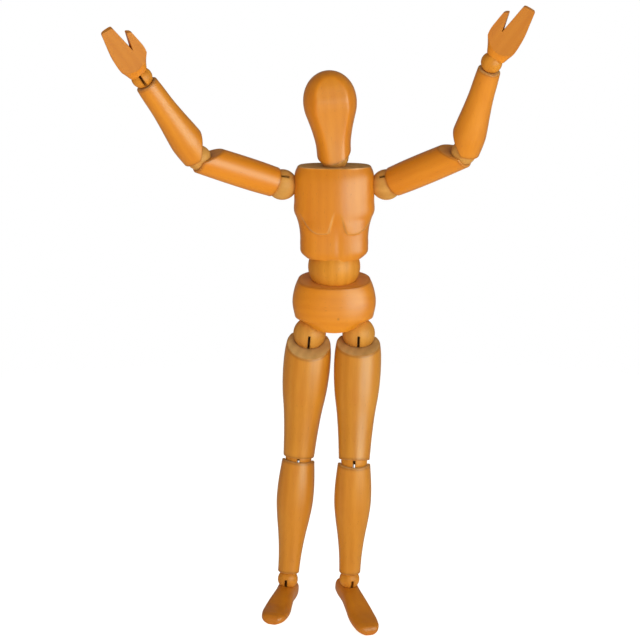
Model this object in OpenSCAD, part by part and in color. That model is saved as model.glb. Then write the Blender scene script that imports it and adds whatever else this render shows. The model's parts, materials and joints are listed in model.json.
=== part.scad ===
// Wooden artist mannequin: turned limbs and carved blocks strung on ball joints.
// Every ball has a cross pin. A spring from the piece above hooks over the pin,
// and the piece below hooks over the same pin through a slot, so each ball turns
// in the piece above it and the piece below swings in the slot.
// Millimetres, +Z up, the figure faces -Y, left and right are the figure's own.
// The origin is the mouth of the stand rod's bore under the pelvis.

/* [Balls] */
// Radius of the waist ball
waist_ball_r = 14.3; // [13:0.1:14.6]
// Radius of the neck ball
neck_ball_r = 7.9; // [7:0.1:8.4]
// Radius of the shoulder balls
shoulder_ball_r = 8.4; // [7.8:0.1:8.8]
// Radius of the elbow balls
elbow_ball_r = 6.8; // [6:0.1:7.2]
// Radius of the wrist balls
wrist_ball_r = 5.7; // [5.2:0.1:6]
// Radius of the hip balls
hip_ball_r = 9; // [8:0.1:9.6]
// Radius of the knee balls
knee_ball_r = 7.2; // [6.4:0.1:7.6]
// Radius of the ankle balls
ankle_ball_r = 5.6; // [5:0.1:6]

/* [Pelvis] */
// Height of the pelvis block at its middle
pelvis_h = 29; // [27:0.5:32]
// Greatest width of the pelvis block
pelvis_w = 45.8; // [43:0.2:48]
// Greatest depth of the pelvis block
pelvis_d = 33; // [31:0.2:36]
// Width of the pelvis block's flat top
pelvis_top_w = 39.2; // [36:0.2:42]
// Depth of the pelvis block's flat top
pelvis_top_d = 30; // [28:0.2:33]
// Width of the pelvis block's flat underside
pelvis_bottom_w = 26; // [24:0.2:32]
// Depth of the pelvis block's flat underside
pelvis_bottom_d = 27; // [26:0.2:30]
// Height of the rounding under the pelvis block
pelvis_round_h = 6; // [4:0.5:8]
// Height of the pelvis block's widest place
pelvis_wide_at = 16; // [12:0.5:20]
// Squareness of the pelvis block's rings, where 2 is an ellipse
pelvis_square = 2.3; // [2:0.1:3]
// Forward slope of the pelvis block's top, in degrees
pelvis_top_slope = 11; // [8:1:18]
// Distance of each hip ball from the middle
hip_spread = 13.5; // [12.8:0.1:15]
// Drop of the hip balls' centres below the pelvis block
hip_drop = 1.5; // [0.5:0.1:3]

/* [Stand bore] */
// Radius of the bore for the stand's rod
rod_bore_r = 2; // [1.5:0.1:2.5]
// Depth of the bore for the stand's rod
rod_bore_depth = 16; // [10:0.5:18]
// Distance of the bore behind the leg axes
bore_back = 9.5; // [8.5:0.1:10]

/* [Chest] */
// Height of the waist ball's centre above the pelvis block
waist_rise = 7; // [6:0.1:9]
// Height of the chest block's underside above the waist ball's centre
chest_rise = 5.6; // [4.5:0.1:7]
// Height of the chest block
chest_h = 50; // [47:0.5:54]
// Width of the chest block's flat top
chest_top_w = 39.8; // [37:0.2:42]
// Depth of the chest block's flat top
chest_top_d = 25; // [23:0.2:28]
// Greatest width of the chest block
chest_w = 43.6; // [42:0.2:44.5]
// Greatest depth of the chest block
chest_d = 32; // [30:0.2:35]
// Width of the chest block at the belly
belly_w = 37.4; // [35:0.2:40]
// Depth of the chest block at the belly
belly_d = 30; // [29:0.2:33]
// Width of the chest block's underside inside its bevel
chest_bottom_w = 30.4; // [29.6:0.2:34]
// Height of the bevel round the chest block's underside
chest_bevel = 3.4; // [2:0.1:5]
// Squareness of the chest block's rings, where 2 is an ellipse
chest_square = 2.6; // [2.2:0.1:3.4]
// Drop of the shoulders' rounding below the chest block's top
shoulder_round = 5; // [3:0.5:8]
// Drop of the breast's lower edge below the chest block's top
breast_drop = 26; // [23:0.5:30]
// Height over which the breast falls in to the belly
breast_fall = 6; // [4:0.5:9]
// Distance of each shoulder ball from the middle
shoulder_spread = 28.4; // [28:0.1:29.2]
// Drop of the shoulder balls' centres below the chest block's top
shoulder_drop = 10.4; // [9:0.1:13]
// Height of the neck ball's centre above the chest block
neck_rise = 5.2; // [4.6:0.1:6]

/* [Head] */
// Height of the crown above the neck ball's centre
head_h = 47; // [44:0.5:52]
// Greatest width of the head
head_w = 29; // [27:0.2:32]
// Height of the head's widest place above the neck ball's centre
head_wide_at = 28.5; // [25:0.5:31]
// Width of the neck
neck_w = 18.6; // [18:0.2:20]
// Distance of the planed face from the head's axis
face_depth = 11.6; // [10.6:0.1:13]
// Lean of the planed face, further out at the brow, in degrees
face_lean = 6.5; // [2:0.5:7]
// Height over the neck ball at which the brow starts to slope back
brow_at = 33; // [30:0.5:36]
// Backward slope of the brow, in degrees
brow_lean = 19; // [12:1:24]
// Height of the neck's cut on the head's axis above the ball's centre
neck_cut = 1.7; // [0.8:0.1:2]
// Slope of the neck's cut, higher at the back, in degrees
neck_cut_slope = 31; // [15:1:32]
// Turn of the neck cut's low side towards the figure's right, in degrees
neck_cut_turn = 17; // [0:1:25]

/* [Arms] */
// Length of the upper arm between ball centres
upper_arm_len = 52; // [46:0.5:60]
// Diameter of the upper arm
upper_arm_w = 17; // [16:0.2:19]
// Distance of the upper arm's end from the shoulder ball's centre
upper_arm_start = 5; // [4.4:0.1:6]
// Length of the forearm between ball centres
forearm_len = 56; // [50:0.5:64]
// Greatest diameter of the forearm
forearm_w = 18; // [17:0.2:20]
// Distance of the forearm's thickest place from the elbow ball's centre
forearm_wide_at = 11.5; // [9:0.5:15]
// Diameter of the forearm at the wrist
wrist_w = 12.2; // [11:0.2:14]
// Distance of the forearm's end from the wrist ball's centre
wrist_seat = 4.4; // [3.8:0.1:4.6]
// Half of the gap between upper arm and forearm on the outer side
elbow_gap = 0.6; // [0.4:0.1:1]
// Distance from the elbow ball's centre to each slanted elbow cut
elbow_cut = 1.9; // [1.4:0.1:3]
// Slope of each slanted elbow cut, in degrees
elbow_cut_slope = 48; // [45:1:54]

/* [Hands] */
// Length of the hand from the wrist ball's centre to the finger tips
hand_len = 38.5; // [34:0.5:44]
// Thickness of the hand at the palm
hand_t = 7.2; // [6.4:0.1:9]
// Thickness of the hand at the finger tips
finger_t = 4.2; // [3:0.1:6]
// Half of the palm's width
palm_half = 7.4; // [7:0.1:8.4]
// Half of the finger tips' width
finger_half = 3.3; // [2.6:0.1:4]
// Reach of the thumb sideways from the hand's axis
thumb_out = 11; // [10:0.1:13]
// Distance of the thumb's tip from the wrist ball's centre
thumb_len = 29.5; // [26:0.5:31]
// Distance of the thumb's notch from the wrist ball's centre
notch_at = 18.2; // [16:0.1:20]
// Distance of the hand's end from the wrist ball's centre
hand_start = 4; // [3.6:0.1:4.6]
// Width of the hand at the wrist
hand_root_w = 9.2; // [8.6:0.2:11]

/* [Legs] */
// Length of the thigh between ball centres
thigh_len = 70.5; // [64:0.5:80]
// Greatest diameter of the thigh
thigh_w = 25.6; // [24:0.2:26.4]
// Distance of the thigh's thickest place from the hip ball's centre
thigh_wide_at = 16.5; // [14:0.5:20]
// Diameter of the thigh at its top rim
thigh_top_w = 22.4; // [21:0.2:24]
// Distance of the thigh's top rim from the hip ball's centre
thigh_start = 1.6; // [1.2:0.1:3]
// Distance on the axis from the hip ball's centre to the slanted top cut
thigh_cut = 4.6; // [3.6:0.1:6]
// Slope of the thigh's top cut, lower in front, in degrees
thigh_cut_slope = 30; // [20:1:36]
// Diameter of the thigh at the knee
knee_w = 17; // [16.6:0.2:18.4]
// Length of the shin between ball centres
shin_len = 70; // [64:0.5:80]
// Diameter of the shin at its top rim
shin_top_w = 17.8; // [17:0.2:19]
// Greatest diameter of the calf
calf_w = 20.6; // [19:0.2:23]
// Distance of the calf's thickest place from the knee ball's centre
calf_wide_at = 20; // [16:0.5:26]
// Diameter of the shin at the ankle
ankle_w = 12; // [11:0.2:14]
// Distance of the shin's end from the ankle ball's centre
ankle_seat = 4.2; // [3.6:0.1:4.6]
// Half of the gap between thigh and shin in front
knee_gap = 1; // [0.6:0.1:1.4]
// Slope of each slanted knee cut, higher behind, in degrees
knee_cut_slope = 50; // [46:1:54]

/* [Feet] */
// Length of the foot
foot_len = 48; // [42:0.5:54]
// Distance of the heel behind the ankle ball's centre
heel_back = 9.5; // [8.6:0.1:11]
// Height of the ankle ball's centre above the sole
ankle_height = 13; // [12:0.1:15]
// Height of the foot under the ankle ball
instep_h = 10; // [9:0.1:10.4]
// Height of the foot at the toes
toe_h = 5.4; // [4:0.1:7]
// Width of the heel
heel_w = 11; // [10.6:0.2:13]
// Greatest width of the foot
foot_w = 14.6; // [13:0.2:17]
// Distance of the foot's widest place from the heel
foot_wide_at = 33.5; // [29:0.5:37]
// Length of the rounding at the toes
toe_round = 4; // [2:0.5:7]
// Length of the rounding at the heel
heel_round = 5; // [3:0.5:7]
// Squareness of the foot's rings, where 2 is an ellipse
foot_square = 3; // [2.4:0.1:4]

/* [Fits] */
// Gap between a ball and the seat it turns in
seat_gap = 0.15; // [0.1:0.01:0.3]
// Width of the slots in the balls
slot_w = 1.3; // [1.2:0.05:1.6]
// Radius of the cross pins
pin_r = 0.6; // [0.5:0.05:0.7]
// Gap round a cross pin in its hole
pin_gap = 0.03; // [0.02:0.01:0.08]
// Radius of the spring wire
wire_r = 0.25; // [0.2:0.01:0.26]
// Gap inside a wire eye and beside a wire
wire_gap = 0.08; // [0.06:0.01:0.12]
// Radius of the spring coils
coil_r = 1.8; // [1.5:0.1:1.9]
// Radius of the spring bores
bore_r = 2.2; // [2.1:0.1:2.5]
// Radius of the anchor nails
nail_r = 0.8; // [0.6:0.05:1]
// Depth of a pin's ends below its ball's surface
pin_recess = 0.8; // [0.4:0.1:1.2]

/* [Springs] */
// Height of the pelvis nail above the pelvis block's underside
pelvis_nail_z = 16; // [15:0.1:17]
// Reach of the pelvis nail past the hip balls' centres
pelvis_nail_past = 4; // [3:0.1:5]
// Depth of the pelvis nail's head below the pelvis block's side
pelvis_nail_sunk = 3; // [2:0.1:5]
// Height of the spine spring's nail above the chest block's underside
spine_nail_up = 20; // [18:0.1:22]
// Depth of the neck spring's nail below the chest block's top
neck_nail_down = 5.6; // [5.2:0.1:6.4]
// Reach of the chest nails in front of the figure's middle plane
chest_nail_front = 5; // [4:0.1:7]
// Depth of the chest nails' heads below the back of the chest block's top
chest_nail_sunk = 1.5; // [1:0.1:4]
// Length of plain wire from a nail to a spring's coil
nail_lead = 2.6; // [2.4:0.1:3.2]
// Length of plain wire from a pin to a coil inside its ball
inner_lead = 3; // [2.6:0.1:4]
// Length of plain wire from a ball's surface to a coil outside it
outer_lead = 1; // [0.6:0.1:2]
// Length of the head's hook
head_hook_len = 20; // [16:0.5:26]
// Length of the hands' hooks
hand_hook_len = 12; // [10:0.5:14]
// Length of the feet's hooks
foot_hook_len = 11; // [10:0.5:11.6]

/* [Pose] */
// Turn of the head towards the figure's left, in degrees
head_turn = 5; // [-30:1:30]
// Lean of the head towards the figure's right, in degrees
head_tilt = 1; // [0:0.5:4]
// Further tilt of the head on its own hook, in degrees
head_lean = 3.5; // [0:0.5:4]
// Raise of the right arm's slot above level, in degrees
arm_raise_right = 41; // [0:1:60]
// Raise of the left arm's slot above level, in degrees
arm_raise_left = 41; // [0:1:60]
// Swing of the right arm forward from straight out, in degrees
arm_swing_right = 31; // [10:1:50]
// Swing of the left arm forward from straight out, in degrees
arm_swing_left = 38; // [10:1:50]
// Roll of the right elbow round its upper arm, in degrees
elbow_roll_right = 48; // [30:1:60]
// Roll of the left elbow round its upper arm, in degrees
elbow_roll_left = -40; // [-65:1:-30]
// Bend of the right elbow, in degrees
elbow_bend_right = 34; // [10:1:60]
// Bend of the left elbow, in degrees
elbow_bend_left = 44; // [10:1:60]
// Roll of the right wrist round its forearm, in degrees
wrist_roll_right = -106; // [-120:1:-80]
// Roll of the left wrist round its forearm, in degrees
wrist_roll_left = -156; // [-170:1:-120]
// Bend of the right wrist, in degrees
wrist_bend_right = 12; // [0:1:25]
// Bend of the left wrist, in degrees
wrist_bend_left = 17; // [0:1:25]
// Turn of the right hand round its own axis, in degrees
hand_twist_right = 9; // [-30:1:40]
// Turn of the left hand round its own axis, in degrees
hand_twist_left = -108; // [-140:1:-60]
// Sideways lean of the right leg, in degrees
leg_lean_right = 5; // [0:0.5:6]
// Sideways lean of the left leg, in degrees
leg_lean_left = 2; // [0:0.5:3]
// Forward raise of the left thigh, in degrees
thigh_raise_left = 10; // [0:1:20]
// Bend of the left knee, in degrees
knee_bend_left = 17; // [0:1:30]
// Outward turn of the right foot, in degrees
foot_turn_right = 11; // [10:1:45]
// Outward turn of the left foot, in degrees
foot_turn_left = 19; // [10:1:45]
// Downward pitch of the left foot, in degrees
foot_pitch_left = 9; // [0:1:12]
// Downward pitch of the right foot, in degrees
foot_pitch_right = 5; // [0:1:12]

/* [Travel] */
// Furthest bend of the elbows, in degrees
elbow_bend_max = 85; // [70:1:88]
// Furthest bend of the knees, in degrees
knee_bend_max = 90; // [70:1:94]
// Forward end of the hip slots, in degrees
hip_slot_max = 90; // [70:1:95]
// Forward end of the shoulder slots, in degrees
shoulder_slot_max = 118; // [80:1:122]
// Bend of the wrists either way, in degrees
wrist_bend_max = 35; // [25:1:45]
// Pitch of the feet either way, in degrees
foot_pitch_max = 20; // [14:1:24]
// Front end of the slots in the wrists, in degrees
wrist_slot_end = 145; // [90:1:150]
// Front end of the slots in the knees and ankles, in degrees
front_slot_end = 95; // [90:1:110]
// Bend of the waist either way, in degrees
waist_bend_max = 18; // [10:1:20]
// Nod of the head back, in degrees
neck_nod_back = 18; // [10:1:20]
// Nod of the head forward, in degrees
neck_nod_forward = 6; // [3:1:8]

/* [Hidden] */
$fn = 64;
SIDES = ["left", "right"];
BALLS = ["shoulder", "elbow", "wrist", "hip", "knee", "ankle"];

VARNISHED = "#D98A2B";
BARE = "#DDA95A";
STEEL = "#9A9A98";
// Far enough to pass right through any piece
through = 80;
// Rings of the lofted blocks have this many corners
block_sides = 28;
// Straight stretches in each eased span of a turned outline
turning_steps = 6;
// Straight stretches in the outline of a ball's seat
seat_steps = 9;

eye_hole_r = pin_r + wire_gap;
nail_eye_r = nail_r + wire_gap;
// The wire is drawn down a little where it leaves an eye
shank_r = 0.8 * wire_r;
eye_r = eye_hole_r + 2 * wire_r;
eye_t = 2 * wire_r + wire_gap / 2;
// Two wire eyes share each pin, one on either side of its middle
eye_offset = eye_t / 2 + wire_gap / 4;
// Room round the eyes in the middle of a ball
eye_room = eye_r + 2 * wire_gap;
hook_bore_r = eye_offset + wire_r + wire_gap;
leg_y = -bore_back;
brow_depth = face_depth + (brow_at - head_wide_at) * tan(face_lean);
waist_z = pelvis_h + waist_rise;
chest_top = chest_rise + chest_h;
spine_nail_z = chest_rise + spine_nail_up;
neck_nail_z = chest_top - neck_nail_down;
pelvis_nail_half = hip_spread + pelvis_nail_past;
pelvis_nail_len = pelvis_nail_half + pelvis_w / 2 - pelvis_nail_sunk;
chest_nail_len = chest_nail_front + chest_top_d / 2 - chest_nail_sunk;

function side_sign(side) = side == "left" ? 1 : -1;
function pick(side, left, right) = side == "left" ? left : right;

// Places: each is a matrix, so that one piece's place follows from the last
function shift(v) = [[1, 0, 0, v[0]], [0, 1, 0, v[1]], [0, 0, 1, v[2]], [0, 0, 0, 1]];
function turn_x(a) = [[1, 0, 0, 0], [0, cos(a), -sin(a), 0], [0, sin(a), cos(a), 0], [0, 0, 0, 1]];
function turn_y(a) = [[cos(a), 0, sin(a), 0], [0, 1, 0, 0], [-sin(a), 0, cos(a), 0], [0, 0, 0, 1]];
function turn_z(a) = [[cos(a), -sin(a), 0, 0], [sin(a), cos(a), 0, 0], [0, 0, 1, 0], [0, 0, 0, 1]];

// A ball's place has +Z along the piece above it and its pin along X
waist_place = shift([0, leg_y, waist_z]);
neck_place = waist_place * shift([0, 0, chest_top + neck_rise]) * turn_y(-head_tilt) * turn_z(head_turn);

function shoulder_socket(side) =
    waist_place * shift([side_sign(side) * shoulder_spread, 0, chest_top - shoulder_drop])
    * turn_y(90 * side_sign(side));
function shoulder_place(side) =
    shoulder_socket(side) * turn_z(-side_sign(side) * pick(side, arm_raise_left, arm_raise_right));
function upper_arm_place(side) = shoulder_place(side) * turn_x(pick(side, arm_swing_left, arm_swing_right));
function elbow_place(side) =
    upper_arm_place(side) * shift([0, 0, upper_arm_len]) * turn_z(pick(side, elbow_roll_left, elbow_roll_right));
function forearm_place(side) = elbow_place(side) * turn_x(pick(side, elbow_bend_left, elbow_bend_right));
function wrist_place(side) =
    forearm_place(side) * shift([0, 0, forearm_len]) * turn_z(pick(side, wrist_roll_left, wrist_roll_right));
function hand_place(side) = wrist_place(side) * turn_x(pick(side, wrist_bend_left, wrist_bend_right));

function hip_place(side) =
    shift([side_sign(side) * hip_spread, leg_y, -hip_drop]) * turn_y(180)
    * turn_y(pick(side, leg_lean_left, leg_lean_right));
function thigh_place(side) = hip_place(side) * turn_x(pick(side, thigh_raise_left, 0));
function knee_place(side) = thigh_place(side) * shift([0, 0, thigh_len]);
function shin_place(side) = knee_place(side) * turn_x(-pick(side, knee_bend_left, 0));
function ankle_place(side) =
    shin_place(side) * shift([0, 0, shin_len])
    * turn_z(-side_sign(side) * pick(side, foot_turn_left, foot_turn_right));
function foot_place(side) = ankle_place(side) * turn_x(-pick(side, foot_pitch_left, foot_pitch_right));

function ball_place(name, side) =
    name == "shoulder" ? shoulder_place(side) :
    name == "elbow" ? elbow_place(side) :
    name == "wrist" ? wrist_place(side) :
    name == "hip" ? hip_place(side) :
    name == "knee" ? knee_place(side) : ankle_place(side);
function ball_r(name) =
    name == "shoulder" ? shoulder_ball_r :
    name == "elbow" ? elbow_ball_r :
    name == "wrist" ? wrist_ball_r :
    name == "hip" ? hip_ball_r :
    name == "knee" ? knee_ball_r : ankle_ball_r;
// First and last direction of a ball's slot, in degrees from straight on towards -Y
function ball_slot(name) =
    name == "shoulder" ? [-10, shoulder_slot_max] :
    name == "elbow" ? [0, elbow_bend_max] :
    name == "wrist" ? [-wrist_bend_max, wrist_slot_end] :
    name == "hip" ? [0, hip_slot_max] :
    name == "knee" ? [-knee_bend_max, front_slot_end] : [-foot_pitch_max, front_slot_end];

// Outline helpers
function ease(t) = t * t * (3 - 2 * t);
// Outline of a turned piece through stations [height, radius], level at each station
function turned(stations) = concat(
    [for (i = [0:len(stations) - 2]) for (k = [0:turning_steps - 1])
        let (t = k / turning_steps, a = stations[i], b = stations[i + 1])
        [a[1] + (b[1] - a[1]) * ease(t), a[0] + (b[0] - a[0]) * t]],
    [let (last = stations[len(stations) - 1]) [last[1], last[0]]]
);
// Rounded ring: half width, half depth and squareness, where 2 is an ellipse
function ring(z, half_w, half_d, square, slope = 0) = [
    for (i = [0:block_sides - 1])
        let (t = 360 * i / block_sides, x = cos(t), y = sin(t), p = 2 / square,
             px = half_w * sign(x) * pow(abs(x), p), py = half_d * sign(y) * pow(abs(y), p))
        [px, py, z + py * tan(slope)]
];

// Solid through rings of equal count, lowest first
module loft(rings) {
    n = len(rings[0]);
    last = len(rings) - 1;
    points = [for (r = rings) for (p = r) p];
    sides = [for (i = [0:last - 1]) for (j = [0:n - 1])
        let (a = i * n + j, b = i * n + (j + 1) % n, c = b + n, d = a + n)
        each [[a, c, b], [a, d, c]]];
    bottom = [for (j = [0:n - 1]) j];
    top = [for (j = [n - 1:-1:0]) last * n + j];
    polyhedron(points, concat(sides, [bottom, top]), convexity = 4);
}

// Arc of a ball's seat from the piece's rim in to its spring bore. The ball's centre is
// depth beyond the rim, and the arc's heights count from that centre into the piece.
function seat_arc(r, depth) =
    let (rim = acos(depth / r), bore = asin(bore_r / r))
    [for (k = [0:seat_steps]) let (a = rim + (bore - rim) * k / seat_steps) r * [sin(a), cos(a)]];

// Turned limb between two balls, with a seat for each and a spring bore between them
module limb(stations, length, near_r, far_r) {
    near = seat_arc(near_r + seat_gap, stations[0][0]);
    far = seat_arc(far_r + seat_gap, length - stations[len(stations) - 1][0]);
    far_seat = [for (p = far) [p[0], length - p[1]]];
    near_seat = [for (k = [seat_steps:-1:0]) near[k]];
    rotate_extrude()
        polygon(concat(turned(stations), far_seat, near_seat));
}

// Everything above a plane that crosses the axis at a height and rises towards +Y
module above(height, slope) {
    translate([0, 0, height])
        rotate([slope, 0, 0])
            translate([-through, -through, 0])
                cube([2 * through, 2 * through, through]);
}

// Everything in front of a plane at a depth and height that leans forward by the slope
module before(depth, height, slope) {
    translate([0, -depth, height])
        rotate([slope, 0, 0])
            translate([-through, -through, -through])
                cube([2 * through, through, 2 * through]);
}

// Everything below a plane that crosses the axis at a height and rises towards +Y
module below(height, slope) {
    translate([0, 0, height])
        rotate([slope, 0, 0])
            translate([-through, -through, -through])
                cube([2 * through, 2 * through, through]);
}

// Round cutter along X through the middle
module cross_bore(r) {
    rotate([0, 90, 0])
        cylinder(r = r, h = through, center = true);
}

// Joint balls
// Fan of a slot from one bend to another, wide enough for the wire at both ends
module slot_cut(r, from, to) {
    middle = (from + to) / 2;
    reach = 4 * r;
    back = eye_room / sin((to - from) / 2 + 20);
    far = [for (bend = [from - 4, (from + middle) / 2, middle, (middle + to) / 2, to + 4])
        reach * [-sin(bend), cos(bend)]];
    rotate([90, 0, 90])
        translate([0, 0, -slot_w / 2])
            linear_extrude(slot_w)
                polygon(concat([-back * [-sin(middle), cos(middle)]], far));
}

// Slotted ball, with a bore below for the spring of the piece above it
module ball_solid(r, slot, inner_r = hook_bore_r) {
    color(BARE)
        difference() {
            sphere(r);
            slot_cut(r, slot[0], slot[1]);
            cross_bore(pin_r + pin_gap);
            rotate([0, 90, 0])
                cylinder(r = eye_room, h = slot_w, center = true);
            translate([0, 0, -2 * r])
                cylinder(r = inner_r, h = 2 * r - eye_r);
        }
}

module pin_solid(r) {
    color(STEEL)
        rotate([0, 90, 0])
            cylinder(r = pin_r, h = 2 * (r - pin_recess), center = true);
}

// Spring wire
// Flat eye round a pin along X, set off to one side of the middle
module eye(hole_r, offset_x) {
    translate([offset_x, 0, 0])
        rotate([0, 90, 0])
            difference() {
                cylinder(r = hole_r + 2 * wire_r, h = eye_t, center = true);
                cylinder(r = hole_r, h = through, center = true);
            }
}

// Straight wire that leaves an eye along +Z
module shank(hole_r, offset_x, length) {
    translate([offset_x, 0, hole_r + wire_r])
        cylinder(r = shank_r, h = length - hole_r - wire_r);
}

// End of a spring: eye, wire and the flat bar that crosses the coil's end
module spring_end(turn, hole_r, offset_x, lead) {
    rotate([0, 0, turn]) {
        eye(hole_r, offset_x);
        shank(hole_r, offset_x, lead);
        translate([0, 0, lead])
            cube([2 * coil_r - wire_r, 3 * wire_r, 2 * wire_r], center = true);
    }
}

// Spring from one pin to another along +Z, with the coil as a plain sleeve
module spring_solid(length, near, far, near_lead, far_lead) {
    color(STEEL) {
        spring_end(near[0], near[1], near[2], near_lead);
        translate([0, 0, length])
            mirror([0, 0, 1])
                spring_end(far[0], far[1], far[2], far_lead);
        translate([0, 0, near_lead - 2 * wire_r])
            difference() {
                cylinder(r = coil_r, h = length - near_lead - far_lead + 4 * wire_r);
                translate([0, 0, -1])
                    cylinder(r = coil_r - 2 * wire_r, h = length);
            }
    }
}

module hook_solid(length) {
    color(STEEL) {
        eye(eye_hole_r, eye_offset);
        shank(eye_hole_r, eye_offset, length);
    }
}

// Blind hole for a hook's wire
module hook_bore(length) {
    translate([eye_offset, 0, 0])
        cylinder(r = shank_r + pin_gap, h = length + wire_gap);
}

// Room where a spring's lead meets a ball
function lead(r) = r + outer_lead;

// Pelvis
// Ring of the pelvis between its underside, its widest place and its top: shares of the way from
// the widest ring to the underside's or top's, and of the top's slope
function pelvis_ring(z, end_w, end_d, share, slope_share) = ring(
    z,
    (pelvis_w + share * (end_w - pelvis_w)) / 2,
    (pelvis_d + share * (end_d - pelvis_d)) / 2,
    pelvis_square,
    pelvis_top_slope * slope_share
);

module pelvis_block() {
    low = [pelvis_bottom_w, pelvis_bottom_d];
    high = [pelvis_top_w, pelvis_top_d];
    rings = [
        pelvis_ring(0, low[0], low[1], 1, 0),
        pelvis_ring(pelvis_round_h / 2, low[0], low[1], 0.55, 0),
        pelvis_ring(pelvis_round_h, low[0], low[1], 0.25, 0),
        pelvis_ring((pelvis_round_h + pelvis_wide_at) / 2, low[0], low[1], 0.08, 0.25),
        pelvis_ring(pelvis_wide_at, low[0], low[1], 0, 0.34),
        pelvis_ring((pelvis_wide_at + pelvis_h) / 2, high[0], high[1], 0.25, 0.7),
        pelvis_ring(pelvis_h, high[0], high[1], 1, 1)
    ];
    loft(rings);
}

module pelvis() {
    color(VARNISHED)
        difference() {
            translate([0, leg_y, 0])
                pelvis_block();
            translate([0, leg_y, waist_z])
                sphere(waist_ball_r + seat_gap);
            translate([0, leg_y, pelvis_nail_z - nail_lead])
                cylinder(r = bore_r, h = waist_z - pelvis_nail_z);
            for (side = SIDES)
                multmatrix(hip_place(side)) {
                    sphere(hip_ball_r + seat_gap);
                    translate([0, 0, -hip_spring_len(side) - nail_lead])
                        cylinder(r = bore_r, h = hip_spring_len(side));
                }
            translate([-pelvis_nail_half, leg_y, pelvis_nail_z])
                rotate([0, 90, 0])
                    cylinder(r = nail_r + pin_gap, h = through);
            translate([0, 0, -1])
                cylinder(r = rod_bore_r, h = rod_bore_depth + 1);
        }
}

function hip_spring_len(side) =
    (pelvis_nail_z + hip_drop) / cos(pick(side, leg_lean_left, leg_lean_right));

module pelvis_nail() {
    color(STEEL)
        translate([-pelvis_nail_half, leg_y, pelvis_nail_z])
            rotate([0, 90, 0])
                cylinder(r = nail_r, h = pelvis_nail_len);
}

module pelvis_springs() {
    translate([0, leg_y, pelvis_nail_z])
        spring_solid(
            waist_z - pelvis_nail_z, [0, nail_eye_r, 0], [0, eye_hole_r, -eye_offset],
            nail_lead, inner_lead
        );
    for (side = SIDES)
        multmatrix(hip_place(side) * turn_y(180))
            spring_solid(
                hip_spring_len(side), [0, eye_hole_r, eye_offset], [0, nail_eye_r, 0],
                lead(hip_ball_r), nail_lead
            );
}

// Chest
module chest_block() {
    breast_z = chest_top - breast_drop;
    belly_z = breast_z - breast_fall;
    bevel_z = chest_rise + chest_bevel;
    // Height, width and depth of each ring
    rings = [
        [chest_rise, chest_bottom_w, belly_d * 0.96],
        [bevel_z, belly_w * 0.97, belly_d],
        [(belly_z + bevel_z) / 2, belly_w, belly_d],
        [belly_z, belly_w + (chest_w - belly_w) / 3, belly_d],
        [breast_z - breast_fall / 3, chest_w * 0.96, chest_d * 0.97],
        [breast_z, chest_w, chest_d],
        [(breast_z + chest_top - shoulder_round) / 2, chest_w, chest_d * 0.98],
        [chest_top - shoulder_round, chest_w * 0.99, (chest_d + chest_top_d) / 2],
        [chest_top, chest_top_w, chest_top_d]
    ];
    loft([for (r = rings) ring(r[0], r[1] / 2, r[2] / 2, chest_square)]);
}

module chest() {
    shoulder_z = chest_top - shoulder_drop;
    color(VARNISHED)
        multmatrix(waist_place)
            difference() {
                chest_block();
                sphere(waist_ball_r + seat_gap);
                translate([0, 0, chest_top + neck_rise])
                    sphere(neck_ball_r + seat_gap);
                for (x = [-shoulder_spread, shoulder_spread])
                    translate([x, 0, shoulder_z])
                        sphere(shoulder_ball_r + seat_gap);
                cylinder(r = bore_r, h = spine_nail_z + nail_lead);
                translate([0, 0, neck_nail_z - nail_lead])
                    cylinder(r = bore_r, h = chest_top);
                translate([0, 0, shoulder_z])
                    cross_bore(bore_r);
                for (z = [spine_nail_z, neck_nail_z])
                    translate([0, -chest_nail_front, z])
                        rotate([-90, 0, 0])
                            cylinder(r = nail_r + pin_gap, h = through);
            }
}

module chest_nails() {
    color(STEEL)
        multmatrix(waist_place)
            for (z = [spine_nail_z, neck_nail_z])
                translate([0, -chest_nail_front, z])
                    rotate([-90, 0, 0])
                        cylinder(r = nail_r, h = chest_nail_len);
}

module chest_springs() {
    multmatrix(waist_place)
        spring_solid(
            spine_nail_z, [0, eye_hole_r, eye_offset], [90, nail_eye_r, 0],
            lead(waist_ball_r), nail_lead
        );
    multmatrix(waist_place * shift([0, 0, neck_nail_z]))
        spring_solid(
            neck_nail_down + neck_rise, [90, nail_eye_r, 0], [head_turn, eye_hole_r, -eye_offset],
            nail_lead, inner_lead
        );
    multmatrix(shoulder_socket("right") * turn_y(180))
        spring_solid(
            2 * shoulder_spread,
            [-arm_raise_right, eye_hole_r, eye_offset],
            [-arm_raise_left, eye_hole_r, -eye_offset],
            lead(shoulder_ball_r), lead(shoulder_ball_r)
        );
}

module waist_ball() {
    multmatrix(waist_place)
        ball_solid(waist_ball_r, [-waist_bend_max, waist_bend_max], bore_r);
}

module waist_pin() {
    multmatrix(waist_place)
        pin_solid(waist_ball_r);
}

module neck_ball() {
    multmatrix(neck_place)
        ball_solid(neck_ball_r, [-neck_nod_back, neck_nod_forward], bore_r);
}

module neck_pin() {
    multmatrix(neck_place)
        pin_solid(neck_ball_r);
}

// Head
module head_solid() {
    neck_r = neck_w / 2;
    head_r = head_w / 2;
    dome_h = head_h - head_wide_at;
    dome = [for (a = [0:7.5:90]) [head_r * pow(cos(a), 0.86), head_wide_at + dome_h * pow(sin(a), 0.86)]];
    neck = turned([[-through / 8, neck_r], [4, neck_r], [head_wide_at, head_r]]);
    rotate_extrude()
        polygon(concat([[0, -through / 8]], neck, dome, [[0, head_h]]));
}

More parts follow.
